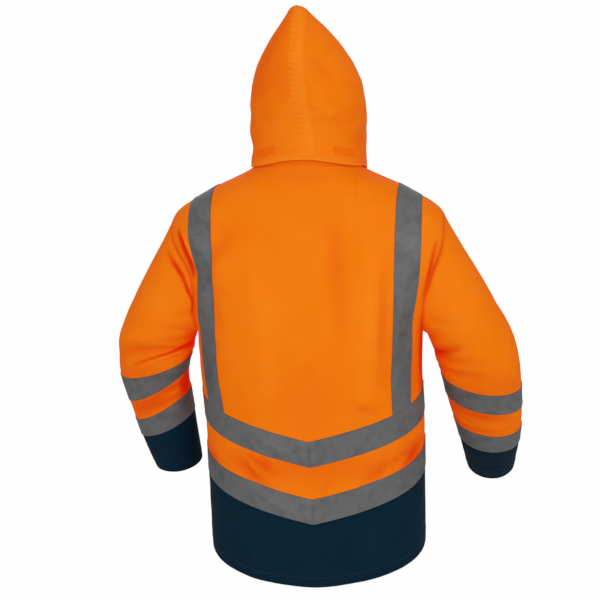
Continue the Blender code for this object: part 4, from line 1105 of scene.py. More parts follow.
FINE_CREASES = {
    Face.BACK: creases(
        # x z to_x to_z width depth bend lip
        (0.241, -0.130, 0.224, -0.212, 4, -3.0, 0.02, 0.8),
        (0.167, -0.108, 0.140, -0.127, 5, -1.4, 0.06, 0.6),
        (0.152, -0.217, 0.125, -0.258, 6, -1.5, -0.16, 0.6),
        (0.062, -0.279, 0.023, -0.278, 5, -0.8, 0.04, 0.6),
        (-0.151, -0.056, -0.172, -0.068, 5, -1.2, 0.05, 0.6),
        (-0.124, -0.116, -0.117, -0.349, 13, 2.0, 0.02),
        (-0.148, -0.173, -0.146, -0.394, 9, -1.8, 0.02),
        (-0.058, -0.119, -0.055, -0.227, 12, -0.9, 0.02, 0.4),
        (0.095, -0.150, 0.099, -0.290, 18, 1.8, 0.02),
        (-0.099, -0.455, -0.126, -0.452, 7, -1.2, 0.05, 0.5),
        (-0.205, -0.260, -0.180, -0.345, 7, -2.0, 0.10, 0.6),
        (0.205, -0.300, 0.160, -0.365, 6, -1.4, 0.10, 0.5),
        (0.103, -0.550, 0.072, -0.573, 6, -2.6, 0.12, 0.7),
        (0.130, -0.560, 0.100, -0.600, 6, -2.0, -0.10, 0.7),
        (-0.190, -0.551, -0.151, -0.583, 6, -2.4, -0.10, 0.7),
        (-0.150, -0.565, -0.110, -0.600, 6, -1.6, 0.10, 0.6),
        (-0.040, -0.590, -0.010, -0.625, 7, -1.2, 0.05, 0.5),
        (0.110, -0.640, 0.130, -0.790, 12, -1.4, 0.04, 0.6),
        (0.030, -0.700, 0.045, -0.800, 11, -1.2, -0.04, 0.6),
        (-0.110, -0.650, -0.135, -0.760, 11, -1.4, 0.05, 0.6),
        (0.000, -0.770, -0.055, -0.725, 9, -1.2, 0.12, 0.5),
        (-0.180, -0.690, -0.150, -0.780, 9, -1.4, -0.06, 0.5),
    ),
    Face.FRONT: creases(
        # x z to_x to_z width depth bend lip
        (0.140, -0.165, 0.225, -0.225, 7, -2.2, 0.10, 0.6),
        (0.195, -0.250, 0.170, -0.345, 7, -2.2, -0.10, 0.6),
        (-0.150, -0.170, -0.225, -0.215, 7, -2.0, -0.08, 0.6),
        (-0.200, -0.245, -0.165, -0.350, 8, -2.4, 0.10, 0.6),
        (0.060, -0.150, 0.080, -0.340, 12, -1.6, 0.03, 0.6),
        (-0.050, -0.170, -0.075, -0.350, 11, -1.5, -0.03, 0.6),
        (0.120, -0.390, 0.050, -0.450, 9, -1.6, 0.10, 0.6),
        (-0.130, -0.380, -0.060, -0.470, 9, -1.6, -0.08, 0.6),
        (0.150, -0.560, 0.095, -0.600, 6, -2.2, 0.10, 0.7),
        (-0.140, -0.560, -0.080, -0.605, 6, -2.2, -0.10, 0.7),
        (0.060, -0.590, 0.030, -0.625, 6, -1.5, 0.06, 0.6),
        (0.100, -0.670, 0.120, -0.790, 11, -1.8, 0.04, 0.6),
        (-0.070, -0.690, -0.055, -0.800, 11, -1.6, -0.04, 0.6),
    ),
}


# Painted shade in the lee of folds, along the armholes, under the arms, below the hood and low on the back.
BODY_SHADES = {
    Face.BACK: shades(
        # x z to_x to_z width strength bend
        (0.240, -0.134, 0.226, -0.214, 5, 190, 0.02),
        (-0.245, -0.155, -0.223, -0.255, 4, 90),
        (0.178, -0.340, 0.186, -0.440, 13, 60),
        (-0.188, -0.330, -0.198, -0.450, 12, 45),
        (-0.219, -0.300, -0.219, -0.470, 6, 112),
        (-0.146, -0.170, -0.146, -0.410, 15, 26),
        (-0.070, -0.022, 0.070, -0.022, 24, 24),
        (-0.080, -0.440, 0.080, -0.440, 80, 20),
        (-0.190, -0.570, 0.190, -0.570, 34, 30),
        (-0.186, -0.530, -0.206, -0.600, 20, 34),
        (0.200, -0.300, 0.204, -0.480, 16, 16),
        (-0.130, -0.460, -0.095, -0.452, 8, 24),
        (0.204, -0.560, 0.180, -0.610, 12, 60),
        (-0.205, -0.545, -0.165, -0.590, 10, 45),
        (0.115, -0.548, 0.070, -0.580, 8, 40),
    ),
    Face.FRONT: shades(
        # x z to_x to_z width strength bend
        (0.238, -0.120, 0.204, -0.220, 7, 120),
        (-0.240, -0.130, -0.210, -0.235, 7, 120),
        (0.165, -0.340, 0.180, -0.450, 13, 50),
        (-0.165, -0.340, -0.185, -0.450, 13, 50),
        (0.110, -0.560, 0.080, -0.600, 8, 36),
    ),
}


@dataclass(frozen=True)
class DrawnIn:
    """A stretch behind an armhole that is pulled in towards the body, so that the back turns sharply there."""

    side: Side = Side.LEFT
    face: Face = Face.BACK
    starts: float = 0.182  # distance from the middle at which the pull begins
    full: float = 0.222
    level: float = -0.216
    half: float = 0.094
    inwards: float = 0.013
    forwards: float = 0.007

    def push(self, flat: Array) -> Array:
        """How far each point of a laid half moves."""
        share = smooth((flat[..., 0] * self.side.value - self.starts) / (self.full - self.starts))
        share = share * (1 - smooth(np.abs(flat[..., 2] - self.level) / self.half))
        return share[..., None] * np.array([-self.side.value * self.inwards, -self.forwards, 0.0])


@dataclass
class TorsoCloth:
    """The fine back and front of the body with their creases, joined in their seams."""

    form: BodyForm = field(default_factory=BodyForm)
    drawn_in: DrawnIn = field(default_factory=DrawnIn)
    unevenness: tuple = ((0.00035, 0.060, 11), (0.00022, 0.025, 21))  # height, size of a wave and seed
    side_rise: float = 2.2  # how fast the creases rise from a side seam
    calm_rows: float = 6.0  # rows over which they fade at the top
    grids: dict[Face, ClothGrid] = field(default_factory=dict)

    def __post_init__(self) -> None:
        """Lays both halves and joins them."""
        for face in Face:
            self.grids[face] = self.lay(face)
        self.join()

    def lay(self, face: Face) -> ClothGrid:
        """The whole back or front, side to side."""
        half = np.array([self.form.columns(curve, face) for curve in self.form.curves(face)])
        flat = np.concatenate([half[:, :0:-1] * np.array([-1.0, 1.0, 1.0]), half], axis=1)
        normals = -face.value * grid_normals(flat)
        x, z = flat[..., 0], flat[..., 2]
        fine = heights(FINE_CREASES[face], x, z)
        for height, size, seed in self.unevenness:
            fine = fine + height * soft_noise(x, z, size, seed + face.value)
        columns = np.arange(flat.shape[1])
        edge = smooth(np.minimum(columns, columns[::-1]) / self.form.side_steps * self.side_rise)
        top = smooth((len(flat) - 1 - np.arange(len(flat))) / self.calm_rows)
        crease = (heights(MAIN_FOLDS[face], x, z) + fine) * edge * top[:, None]
        creased = flat + normals * crease[..., None]
        if face is self.drawn_in.face:
            creased = creased + self.drawn_in.push(flat)
        points = self.form.hung(creased)
        shade = shade_of(crease, BODY_SHADES[face], x, z)
        return ClothGrid(points, -face.value * grid_normals(points), crease=crease, shade=shade)

    def middle(self, face: Face) -> int:
        """The middle column."""
        return self.grids[face].points.shape[1] // 2

    def stretch(self, face: Face, side: Side, near: str, far: str | None = None) -> slice:
        """Columns of one side from a named place to another, or to the side seam."""
        middle, start = self.middle(face), self.form.column(near, face)
        end = self.form.column(far, face) if far else middle
        if side is Side.LEFT:
            return slice(middle + start, middle + end + 1)
        return slice(middle - end, middle - start + 1)

    def join(self) -> None:
        """Gives the back and the front the same points and normals in their seams."""
        back, front = self.grids[Face.BACK], self.grids[Face.FRONT]
        reach, wide = back.points.shape[1], front.points.shape[1]
        for column, other in ((0, 0), (reach - 1, wide - 1)):
            self.share(slice(0, self.form.row("underarm") + 1), column, other)
        top = self.form.row("top")
        shoulder = self.middle(Face.BACK) - self.form.column("corner", Face.BACK)
        for column in range(shoulder + 1):
            self.share(top, column, column)
            self.share(top, reach - 1 - column, wide - 1 - column)

    def share(self, rows: slice | int, back: int, front: int) -> None:
        """Joins one stretch of a seam."""
        a, b = self.grids[Face.BACK], self.grids[Face.FRONT]
        joint = unit(a.normals[rows, back] + b.normals[rows, front])
        a.normals[rows, back] = joint
        b.normals[rows, front] = joint
        b.points[rows, front] = a.points[rows, back]

    def armhole(self, side: Side, what: str = "points") -> Array:
        """Closed ring of an armhole from the shoulder point down the back and up the front."""
        column = -1 if side is Side.LEFT else 0
        rows = slice(self.form.row("underarm"), self.form.row("top") + 1)
        back = getattr(self.grids[Face.BACK], what)[rows, column][::-1]
        front = getattr(self.grids[Face.FRONT], what)[rows, column][1:-1]
        return np.concatenate([back, front])

    def set_armhole_normals(self, side: Side, normals: Array) -> None:
        """Turns the body's edge normals to those of the joined sleeve."""
        column = -1 if side is Side.LEFT else 0
        under, top = self.form.row("underarm"), self.form.row("top")
        count = top - under + 1
        back = normals[:count][::-1]
        self.grids[Face.BACK].normals[under : top + 1, column] = back
        front = self.grids[Face.FRONT].normals
        front[under + 1 : top, column] = normals[count:]
        front[under, column], front[top, column] = back[0], back[-1]


@dataclass
class Torso:
    """Panels, hem, chevron tapes and braces of the body."""

    cloth: TorsoCloth
    weaver: Weaver

    def piece(self, node: str, grid: ClothGrid, finish: str, edges: str, rests_on: str) -> Piece:
        """Cuts one panel."""
        trimmed = grid.trimmed(edges, self.weaver.gauge.sewn / 2)
        return self.weaver.panel(node, trimmed, finish, (rests_on,), pucker=1.0)

    def tape(self, name: str, face: Face, side: Side, rows: slice, columns: slice, edges: str) -> Piece:
        """Lays one length of tape on the back or a front."""
        under = "back_panel" if face is Face.BACK else "front_" + side.label
        grid = self.cloth.grids[face].patch(rows, columns)
        return self.weaver.strip(f"{name}_{face.label}_{side.label}", grid, edges, self.weaver.gauge.sewn, under)

    def build(self) -> list[Piece]:
        """Makes every piece of the torso."""
        return self.panels() + self.chevrons() + self.braces()

    def panels(self) -> list[Piece]:
        """Back, fronts and their hems."""
        seam = self.cloth.form.row("lower_start")
        above, below = slice(seam, None), slice(0, seam + 1)
        back, front = self.cloth.grids[Face.BACK], self.cloth.grids[Face.FRONT]
        made = [
            self.piece("back_panel", back.patch(above), "orange", "bottom top left right", "collar"),
            self.piece("back_hem", back.patch(below), "navy", "top left right", "back_panel"),
        ]
        for side in Side:
            columns, name = self.cloth.stretch(Face.FRONT, side, "zip"), "front_" + side.label
            panel, hem = front.patch(above, columns), front.patch(below, columns)
            made.append(self.piece(name, panel, "orange", "bottom top left right", "back_panel"))
            made.append(self.piece("front_hem_" + side.label, hem, "navy", "top left right", name))
        return made

    def chevrons(self) -> list[Piece]:
        """The two tapes round the body, each in four lengths."""
        form, made = self.cloth.form, []
        for name in ("lower", "upper"):
            rows = slice(form.row(name + "_start"), form.row(name + "_end") + 1)
            for face in Face:
                for side in Side:
                    columns = self.cloth.stretch(face, side, "zip")
                    made.append(self.tape("tape_" + name, face, side, rows, columns, "bottom top left right"))
        return made

    def braces(self) -> list[Piece]:
        """The upright tapes, behind and in front."""
        rows = slice(self.cloth.form.row("upper_end"), self.cloth.form.row("top") + 1)
        made = []
        for face in Face:
            for side in Side:
                columns = self.cloth.stretch(face, side, "brace_in", "brace_out")
                made.append(self.tape("brace", face, side, rows, columns, "bottom top"))
        return made


# ---- Sleeves ----


SLEEVE_SHAPES = {
    Side.LEFT: table(
        "along wide deep drawn",
        (0.000, 0.105, 0.088, 0.000),
        (0.110, 0.126, 0.094, 0.024),
        (0.160, 0.132, 0.096, 0.032),
        (0.209, 0.137, 0.098, 0.037),
        (0.259, 0.150, 0.112, 0.029),
        (0.290, 0.155, 0.122, 0.014),
        (0.340, 0.147, 0.138, 0.000),
        (0.420, 0.141, 0.158, 0.000),
    ),
    Side.RIGHT: table(
        "along wide deep drawn",
        (0.000, 0.103, 0.090, 0.004),
        (0.124, 0.124, 0.096, 0.014),
        (0.174, 0.133, 0.102, 0.020),
        (0.240, 0.146, 0.108, 0.027),
        (0.290, 0.152, 0.120, 0.024),
        (0.350, 0.158, 0.142, 0.000),
        (0.420, 0.145, 0.160, 0.000),
    ),
}

SLEEVE_LINES = {
    Side.LEFT: table(
        "x y z",
        (0.3225, -0.018, -0.395),
        (0.3265, -0.036, -0.456),
        (0.3215, -0.064, -0.543),
        (0.3110, -0.104, -0.660),
    ),
    Side.RIGHT: table(
        "x y z",
        (-0.3300, -0.018, -0.404),
        (-0.3410, -0.041, -0.472),
        (-0.3570, -0.097, -0.575),
        (-0.3670, -0.184, -0.676),
    ),
}

# Edges of the upper and lower sleeve tapes, by distance from the cuff's end. The cuff begins at the last.
SLEEVE_TAPES = {Side.LEFT: (0.259, 0.209, 0.160, 0.110), Side.RIGHT: (0.290, 0.240, 0.174, 0.124)}

# Angle round the sleeve from its outer line by way of the back, in turns, and distance from the cuff's end.
SLEEVE_FOLDS = {
    Side.LEFT: creases(
        # turn along to_turn to_along width depth bend lip
        (0.02, 0.285, 0.48, 0.335, 11, -6.0),
        (0.20, 0.325, 0.50, 0.365, 11, -4.5),
        (0.05, 0.310, 0.40, 0.350, 14, 4.0),
        (0.55, 0.300, 0.92, 0.290, 13, -6.0),
        (0.10, 0.180, 0.40, 0.165, 12, -4.0),
        (0.55, 0.180, 0.85, 0.185, 12, -4.0),
        ends=0.3,
    ),
    Side.RIGHT: creases(
        # turn along to_turn to_along width depth bend lip
        (0.10, 0.300, 0.50, 0.345, 13, -5.0),
        (0.25, 0.350, 0.50, 0.385, 12, -4.5),
        (0.05, 0.290, 0.30, 0.315, 14, 3.5),
        (0.55, 0.310, 0.92, 0.300, 13, -6.0),
        (0.15, 0.175, 0.40, 0.185, 12, -4.0),
        (0.60, 0.180, 0.85, 0.175, 12, -4.0),
        ends=0.3,
    ),
}

SLEEVE_CREASES = {
    Side.LEFT: creases(
        # turn along to_turn to_along width depth bend lip
        (0.20, 0.282, 0.48, 0.353, 4, -3.6, 0.06, 0.8),
        (0.19, 0.474, 0.31, 0.472, 4, 2.6),
        (0.16, 0.463, 0.30, 0.466, 5, -2.6, 0.0, 0.3),
        (0.34, 0.308, 0.43, 0.267, 4, -1.8, 0.04, 0.6),
        (0.24, 0.360, 0.47, 0.420, 9, -1.5, 0.05, 0.5),
        (0.28, 0.400, 0.34, 0.470, 8, -2.0, 0.08, 0.6),
        (0.58, 0.330, 0.90, 0.315, 7, -3.0, 0.06, 0.7),
        (0.62, 0.380, 0.85, 0.350, 7, -2.4, -0.06, 0.7),
        (0.60, 0.450, 0.72, 0.540, 8, -2.0, 0.05, 0.6),
        (0.25, 0.210, 0.46, 0.195, 5, -2.4, 0.08, 0.7),
        (0.30, 0.190, 0.48, 0.172, 5, -2.2, -0.08, 0.7),
        (0.08, 0.200, 0.30, 0.180, 6, -1.4, 0.05, 0.6),
        (0.60, 0.200, 0.85, 0.190, 6, -2.0, 0.05, 0.6),
        (0.10, 0.060, 0.35, 0.080, 8, -1.2, 0.05, 0.5),
        (0.60, 0.070, 0.80, 0.050, 8, -1.2, 0.05, 0.5),
    ),
    Side.RIGHT: creases(
        # turn along to_turn to_along width depth bend lip
        (0.38, 0.319, 0.33, 0.315, 4, -1.8, 0.05, 0.6),
        (0.26, 0.392, 0.48, 0.388, 8, -2.2, 0.04, 0.4),
        (0.28, 0.440, 0.36, 0.520, 9, -1.6, 0.05, 0.5),
        (0.38, 0.285, 0.48, 0.262, 5, -1.8, 0.05, 0.7),
        (0.58, 0.340, 0.90, 0.325, 7, -3.0, 0.06, 0.7),
        (0.62, 0.395, 0.85, 0.365, 7, -2.4, -0.06, 0.7),
        (0.60, 0.450, 0.72, 0.540, 8, -2.0, 0.05, 0.6),
        (0.05, 0.205, 0.30, 0.188, 6, -1.6, 0.05, 0.6),
        (0.28, 0.195, 0.46, 0.205, 5, -2.0, -0.08, 0.7),
        (0.60, 0.200, 0.85, 0.190, 6, -2.0, 0.05, 0.6),
        (0.12, 0.070, 0.38, 0.055, 8, -1.2, 0.05, 0.5),
        (0.60, 0.060, 0.80, 0.080, 8, -1.2, 0.05, 0.5),
    ),
}


# Painted shade in the lee of folds, at the elbows, along the armholes and between the tapes.
SLEEVE_SHADES = {
    Side.LEFT: shades(
        # turn along to_turn to_along width strength bend
        (0.19, 0.281, 0.50, 0.356, 3, 75, 0.06),
        (0.04, 0.262, 0.28, 0.268, 17, 26),
        (0.40, 0.322, 0.52, 0.342, 11, 75),
        (0.02, 0.188, 0.42, 0.182, 22, 34),
        (0.15, 0.464, 0.27, 0.463, 5, 110),
        (0.26, 0.463, 0.32, 0.476, 5, 120),
        (0.315, 0.478, 0.350, 0.462, 7, 150),
        (0.42, 0.160, 0.48, 0.208, 20, 150),
        (0.44, 0.262, 0.56, 0.296, 16, 120),
        (0.10, 0.204, 0.40, 0.196, 10, 40),
        (0.60, 0.300, 0.85, 0.295, 10, 70),
    ),
    Side.RIGHT: shades(
        # turn along to_turn to_along width strength bend
        (0.31, 0.392, 0.54, 0.386, 12, 92),
        (0.16, 0.537, 0.30, 0.536, 4, 90),
        (0.44, 0.175, 0.54, 0.235, 18, 110),
        (0.47, 0.295, 0.56, 0.375, 20, 120),
        (0.15, 0.230, 0.44, 0.232, 13, 60),
        (0.02, 0.298, 0.30, 0.302, 14, 34),
        (0.60, 0.320, 0.85, 0.310, 10, 70),
    ),
}


@dataclass
class SleeveForm:
    """One sleeve: out of the armhole, past the elbow and down to the cuff's end."""

    side: Side
    armhole: Array
    biceps_from_armhole: float = 0.115
    around_steps: int = 5
    dense: int = 321
    look: float = 0.012  # how far each way the sleeve's run is measured
    shoulder_way: tuple[float, float] = (0.42, -0.91)  # outwards and up, as the cloth leaves the shoulder
    underarm_out: float = 0.3
    pulls: tuple[float, float] = (0.7, 0.9)  # how far the curves keep their way at the armhole and the biceps
    radius: float = 0.06  # of the round on which the unevenness is laid
    uneven: float = 0.0004
    calm_rows: float = 7.0  # rows over which the creases fade at the armhole

    def __post_init__(self) -> None:
        """Draws the middle line and spaces the points round it."""
        line = SLEEVE_LINES[self.side]
        knots = np.stack([line["x"], line["y"], line["z"]], axis=1)
        knots = np.concatenate([[self.armhole.mean(axis=0)], knots])
        run = run_of(knots)
        fine = np.linspace(0.0, run[-1], self.dense)
        self.line = np.stack([steady(run, knots[:, k], fine) for k in range(3)], axis=1)
        self.run = run_of(self.line)
        self.length = self.run[-1]
        high, low = 7 * self.around_steps, 5 * self.around_steps
        half = np.concatenate([np.linspace(0, 0.25, high + 1), np.linspace(0.25, 0.5, low + 1)[1:]])
        self.turns = np.concatenate([half, 1 - half[1:-1][::-1]])

    def middle(self, distance: float) -> Array:
        """Point of the middle line at a distance from the cuff's end."""
        at = self.length - distance
        return np.array([np.interp(at, self.run, self.line[:, k]) for k in range(3)])

    def ring(self, distance: float) -> tuple[Array, Array]:
        """A plain ring across the sleeve, and the way the sleeve runs there."""
        ahead = self.middle(max(distance - self.look, 0.0))
        behind = self.middle(min(distance + self.look, self.length))
        way = unit(ahead - behind)
        out = np.array([float(self.side.value), 0.0, 0.0])
        out = unit(out - (out @ way) * way)
        back = unit(np.cross(way, out)) * self.side.value
        back = back if back[1] > 0 else -back
        shape = SLEEVE_SHAPES[self.side]
        wide, deep, drawn = (read(shape, key, distance, "along") for key in ("wide", "deep", "drawn"))
        angle = self.turns[:, None] * math.tau
        points = self.middle(distance) + np.cos(angle) * (out * wide / 2 + way * drawn)
        return points + np.sin(angle) * deep / 2 * back, way

    def crown(self, share: float, biceps: Array, way: Array) -> Array:
        """Ring between the armhole and the biceps, along curves that leave the shoulder smoothly."""
        length = np.linalg.norm(biceps - self.armhole, axis=1, keepdims=True)
        low = (1 - np.cos(self.turns[:, None] * math.tau)) / 2
        under = way + np.array([self.underarm_out * self.side.value, 0.0, 0.0])
        out, down = self.shoulder_way
        leave = unit(np.array([out * self.side.value, 0.0, down]) * (1 - low) + under * low) * length * self.pulls[0]
        t = share
        points = (2 * t**3 - 3 * t**2 + 1) * self.armhole + (t**3 - 2 * t**2 + t) * leave
        return points + (3 * t**2 - 2 * t**3) * biceps + (t**3 - t**2) * way * length * self.pulls[1]

    def grid(self, distances: Array, shares: Array) -> ClothGrid:
        """The whole sleeve as a tube, from the armhole down.

        Args:
            distances: Rings from the biceps down, by distance from the cuff's end.
            shares: Rings between the armhole and the biceps, as shares of the way.

        Returns:
            The creased tube.
        """
        biceps_at = self.length - self.biceps_from_armhole
        biceps, way = self.ring(biceps_at)
        rows = [self.crown(share, biceps, way) for share in shares]
        rows += [self.ring(distance)[0] for distance in distances]
        points = np.array(rows)
        measured = np.concatenate([biceps_at + (1 - shares) * self.biceps_from_armhole, distances])
        turns = np.broadcast_to(self.turns, points.shape[:2])
        along = np.broadcast_to(measured[:, None], points.shape[:2])
        girth = math.pi * read(SLEEVE_SHAPES[self.side], "wide", along, "along")
        crease = heights(SLEEVE_FOLDS[self.side], turns, along, girth)
        crease = crease + heights(SLEEVE_CREASES[self.side], turns, along, girth)
        x, y = np.cos(turns * math.tau) * self.radius, np.sin(turns * math.tau) * self.radius + along
        crease = crease + self.uneven * soft_noise(x, y, 0.045, 31 + self.side.value)
        crease *= smooth(np.arange(len(points)) / self.calm_rows)[:, None]
        points = points + self.outward(points) * crease[..., None]
        shade = shade_of(crease, SLEEVE_SHADES[self.side], turns, along, girth)
        return ClothGrid(points, self.outward(points), True, crease, shade)

    @staticmethod
    def outward(points: Array) -> Array:
        """Normals of a tube, pointing away from its middle."""
        normals = grid_normals(points, wrap=True)
        facing = np.sum(normals * (points - points.mean(axis=1, keepdims=True)), axis=-1).mean()
        return normals if facing > 0 else -normals


@dataclass
class Sleeve:
    """Sleeve, cuff and the two tapes round the forearm."""

    side: Side
    torso: TorsoCloth
    weaver: Weaver
    crown_rings: int = 26
    ring_steps: tuple = (42, 12, 13, 12, 28)  # rings from the biceps down, past both tapes to the cuff's end

    def build(self) -> list[Piece]:
        """Makes the sleeve's pieces and joins its edge to the body."""
        form = SleeveForm(self.side, self.torso.armhole(self.side))
        knots = [form.length - form.biceps_from_armhole, *SLEEVE_TAPES[self.side], 0.0]
        grid = form.grid(spans(knots, self.ring_steps), np.linspace(0.0, 1.0, self.crown_rings + 1)[:-1])
        joint = unit(grid.normals[0] + self.torso.armhole(self.side, "normals"))
        grid.normals[0] = joint
        self.torso.set_armhole_normals(self.side, joint)
        ends = self.crown_rings + np.cumsum([0, *self.ring_steps])
        gap, label = self.weaver.gauge.gap, self.side.label
        tube = grid.patch(slice(0, ends[4] + 1)).trimmed("bottom top", gap / 2).trimmed("bottom", gap)
        cuff = grid.patch(slice(ends[4], None)).trimmed("bottom", gap / 2)
        sleeve = "sleeve_" + label
        made = [
            self.weaver.panel(sleeve, tube, "orange", ("back_panel", "front_" + label), pucker=1.0),
            self.weaver.panel("cuff_" + label, cuff, "navy", (sleeve,), pucker=0.6),
        ]
        for name, first in (("upper", 1), ("lower", 3)):
            rows = slice(ends[first], ends[first + 1] + 1)
            made.append(self.weaver.strip(f"sleeve_tape_{name}_{label}", grid.patch(rows), "bottom top", gap, sleeve))
        return made


# ---- Hood, collar and zip ----


HOOD_FOLDS = {
    Side.LEFT: creases(
        # share z to_share to_z width depth bend lip
        (0.15, 0.060, 0.30, 0.095, 14, -2.4),
        (0.15, 0.200, 0.40, 0.150, 15, -2.0),
        (0.05, 0.060, 0.16, 0.030, 7, -1.8, 0.10, 0.6),
        (0.30, 0.050, 0.55, 0.100, 9, -1.8, 0.06, 0.6),
        (0.20, 0.130, 0.55, 0.120, 10, -1.5, 0.05, 0.6),
    ),
    Side.RIGHT: creases(
        # share z to_share to_z width depth bend lip
        (0.10, 0.190, 0.38, 0.135, 14, -4.0),
        (0.08, 0.105, 0.30, 0.075, 13, 4.0),
        (0.10, 0.175, 0.28, 0.130, 7, -1.8, 0.08, 0.6),
        (0.05, 0.095, 0.30, 0.100, 7, -1.8, 0.08, 0.6),
        (0.30, 0.060, 0.55, 0.100, 9, -1.5, 0.06, 0.6),
        (0.40, 0.150, 0.70, 0.120, 10, -1.5, 0.05, 0.6),
    ),
}


NECK_FRONT, NECK_DEPTH = -0.11, 0.20


def behind_share(y: Array) -> Array:
    """Share from 0 at the front of the neck to 1 at its back."""
    return smooth((y - NECK_FRONT) / NECK_DEPTH)


@dataclass
class HoodForm:
    """One half of the hood, from the seam over the middle round to the face."""

    body: BodyForm
    gauge: Gauge
    lift: float = 0.001  # of the lower edge above the neck seam
    clearance: float = 0.0016  # air between the collar and the hood
    nip: float = 0.07
    nip_at: float = 0.038
    nip_reach: float = 0.018
    collar_front: float = 0.064
    fells: dict = field(default_factory=lambda: {
        Side.LEFT: {"bottom": 0.0095, "right": 0.0200},
        Side.RIGHT: {"left": 0.0260, "bottom": 0.0095, "right": 0.0200},
    })
    puckers: dict = field(default_factory=lambda: {Side.LEFT: 0.3, Side.RIGHT: 1.4})
    settled: float = 0.12
    brow: float = 0.205
    face_half: float = 0.079
    face_widest: float = 0.110
    chin: float = -0.05
    chin_half: float = 0.052
    dense: int = 161
    turned_away: dict = field(default_factory=lambda: {Side.LEFT: 0.16, Side.RIGHT: 0.0})  # painted shade on a half turned away from the light
    lee_across: tuple[float, float] = (0.002, 0.016)  # distance from the seam where the half's painted shade starts, and how fast it grows
    lee_up: tuple[float, float] = (0.09, 0.04)  # the same by height
    shade_depth: float = 0.024  # depth of a trough that takes on the whole painted shade
    girth: float = 0.35  # rough length from the back seam to the face
    uneven: float = 0.0004
    calm: float = 0.03  # height over which the creases fade at the base and the tip
    levels: tuple = (0.000, 0.0165, 0.0315, 0.052, 0.078, 0.104, 0.128, 0.150, 0.170, 0.187, 0.199, 0.205, 0.224,
                     0.242, 0.256, 0.266, 0.271)
    level_steps: tuple = (5, 5, 6, 7, 7, 7, 6, 6, 5, 4, 3, 6, 5, 5, 4, 4)
    shares: tuple = (0.0, 0.06, 0.115, 0.17, 0.21, 0.27, 0.335, 0.38, 0.45, 0.54, 0.63, 0.72, 0.81, 0.91, 1.0)
    share_steps: tuple = (3, 3, 4, 3, 4, 5, 3, 5, 5, 5, 5, 5, 5, 5)
    sections: Table = field(default_factory=lambda: table(
        "z half middle back front square",
        (0.000, 0.1055, 0.000, 0.090, 0.108, 2.15),
        (0.045, 0.1065, 0.002, 0.092, 0.114, 2.25),
        (0.090, 0.1073, 0.008, 0.097, 0.117, 2.20),
        (0.130, 0.1025, 0.016, 0.099, 0.116, 2.10),
        (0.165, 0.0900, 0.028, 0.099, 0.121, 1.95),
        (0.205, 0.0665, 0.044, 0.083, 0.099, 1.80),
        (0.235, 0.0420, 0.060, 0.058, 0.082, 1.65),
        (0.256, 0.0225, 0.074, 0.032, 0.048, 1.60),
        (0.264, 0.0155, 0.080, 0.022, 0.032, 1.70),
        (0.269, 0.0085, 0.084, 0.012, 0.018, 1.70),
        (0.271, 0.0000, 0.086, 0.005, 0.008, 1.70),
    ))
    pose: Table = field(default_factory=lambda: table(
        "z turn sway",
        (0.046, 0.0, 0.0000),
        (0.090, -6.5, -0.0050),
        (0.140, -10.0, -0.0090),
        (0.200, -10.0, -0.0120),
        (0.271, -10.0, -0.0150),
    ))

    def opening(self, z: Array) -> Array:
        """Half width of the face opening."""
        rise = smooth((z - self.chin) / (self.face_widest - self.chin))
        low = self.chin_half + (self.face_half - self.chin_half) * rise
        share = np.clip((z - self.face_widest) / (self.brow - self.face_widest), 0.0, 1.0)
        return np.where(z < self.face_widest, low, self.face_half * np.sqrt(1 - share**2))

    def base(self, angle: Array) -> list[Array]:
        """Lower edge just outside the collar, by angle from the centre back."""
        ring = np.concatenate([self.body.neck_curve(Face.BACK), self.body.neck_curve(Face.FRONT)[-2::-1]])
        way = np.gradient(ring[:, :2], axis=0)
        out = unit(np.stack([way[:, 1], -way[:, 0]], axis=1))
        out *= np.sign(np.sum(out * ring[:, :2], axis=1, keepdims=True))
        edge = ring[:, :2] + out * (self.gauge.cloth + self.clearance)
        turn = np.arctan2(edge[:, 0], edge[:, 1])
        return [np.interp(angle, turn, column) for column in (edge[:, 0], edge[:, 1], ring[:, 2] + self.lift)]

    def section(self, angle: Array, z: float) -> tuple[Array, Array]:
        """Level section at an angle from the centre back."""
        half = np.maximum(read(self.sections, "half", z), 1e-5)
        depth = np.where(np.cos(angle) > 0, read(self.sections, "back", z), read(self.sections, "front", z))
        reach = oval_reach(angle, half, depth, read(self.sections, "square", z))
        return reach * np.sin(angle), read(self.sections, "middle", z) + reach * np.cos(angle)

    def curve(self, level: float) -> Array:
        """Curve from the back seam to the face, or to the front seam above the brow."""
        angle = np.linspace(0.0, math.pi, 4 * self.dense)
        base_x, base_y, base_z = self.base(angle)
        x, y = self.section(angle, level)
        settle = 1 - smooth((level - self.collar_front) / (self.settled - self.collar_front))
        eased = 1 - smooth(level / self.settled)
        z = level + base_z * settle
        x = x + (base_x - x) * settle
        y = y + (base_y - y) * (settle + (eased - settle) * behind_share(y))
        x = x * (1 - self.nip * math.exp(-(((level - self.nip_at) / self.nip_reach) ** 2)) * behind_share(y))
        curve = np.stack([x, y, z], axis=1)
        if level >= self.brow:
            return curve
        keep = ~((angle > math.pi / 2) & (x < self.opening(z)))
        last = int(np.count_nonzero(keep))
        before, after = curve[last - 1], curve[last]
        share = (before[0] - self.opening(before[2])) / max(before[0] - after[0], 1e-9)
        return np.concatenate([curve[keep], [before + (after - before) * float(np.clip(share, 0, 1))]])

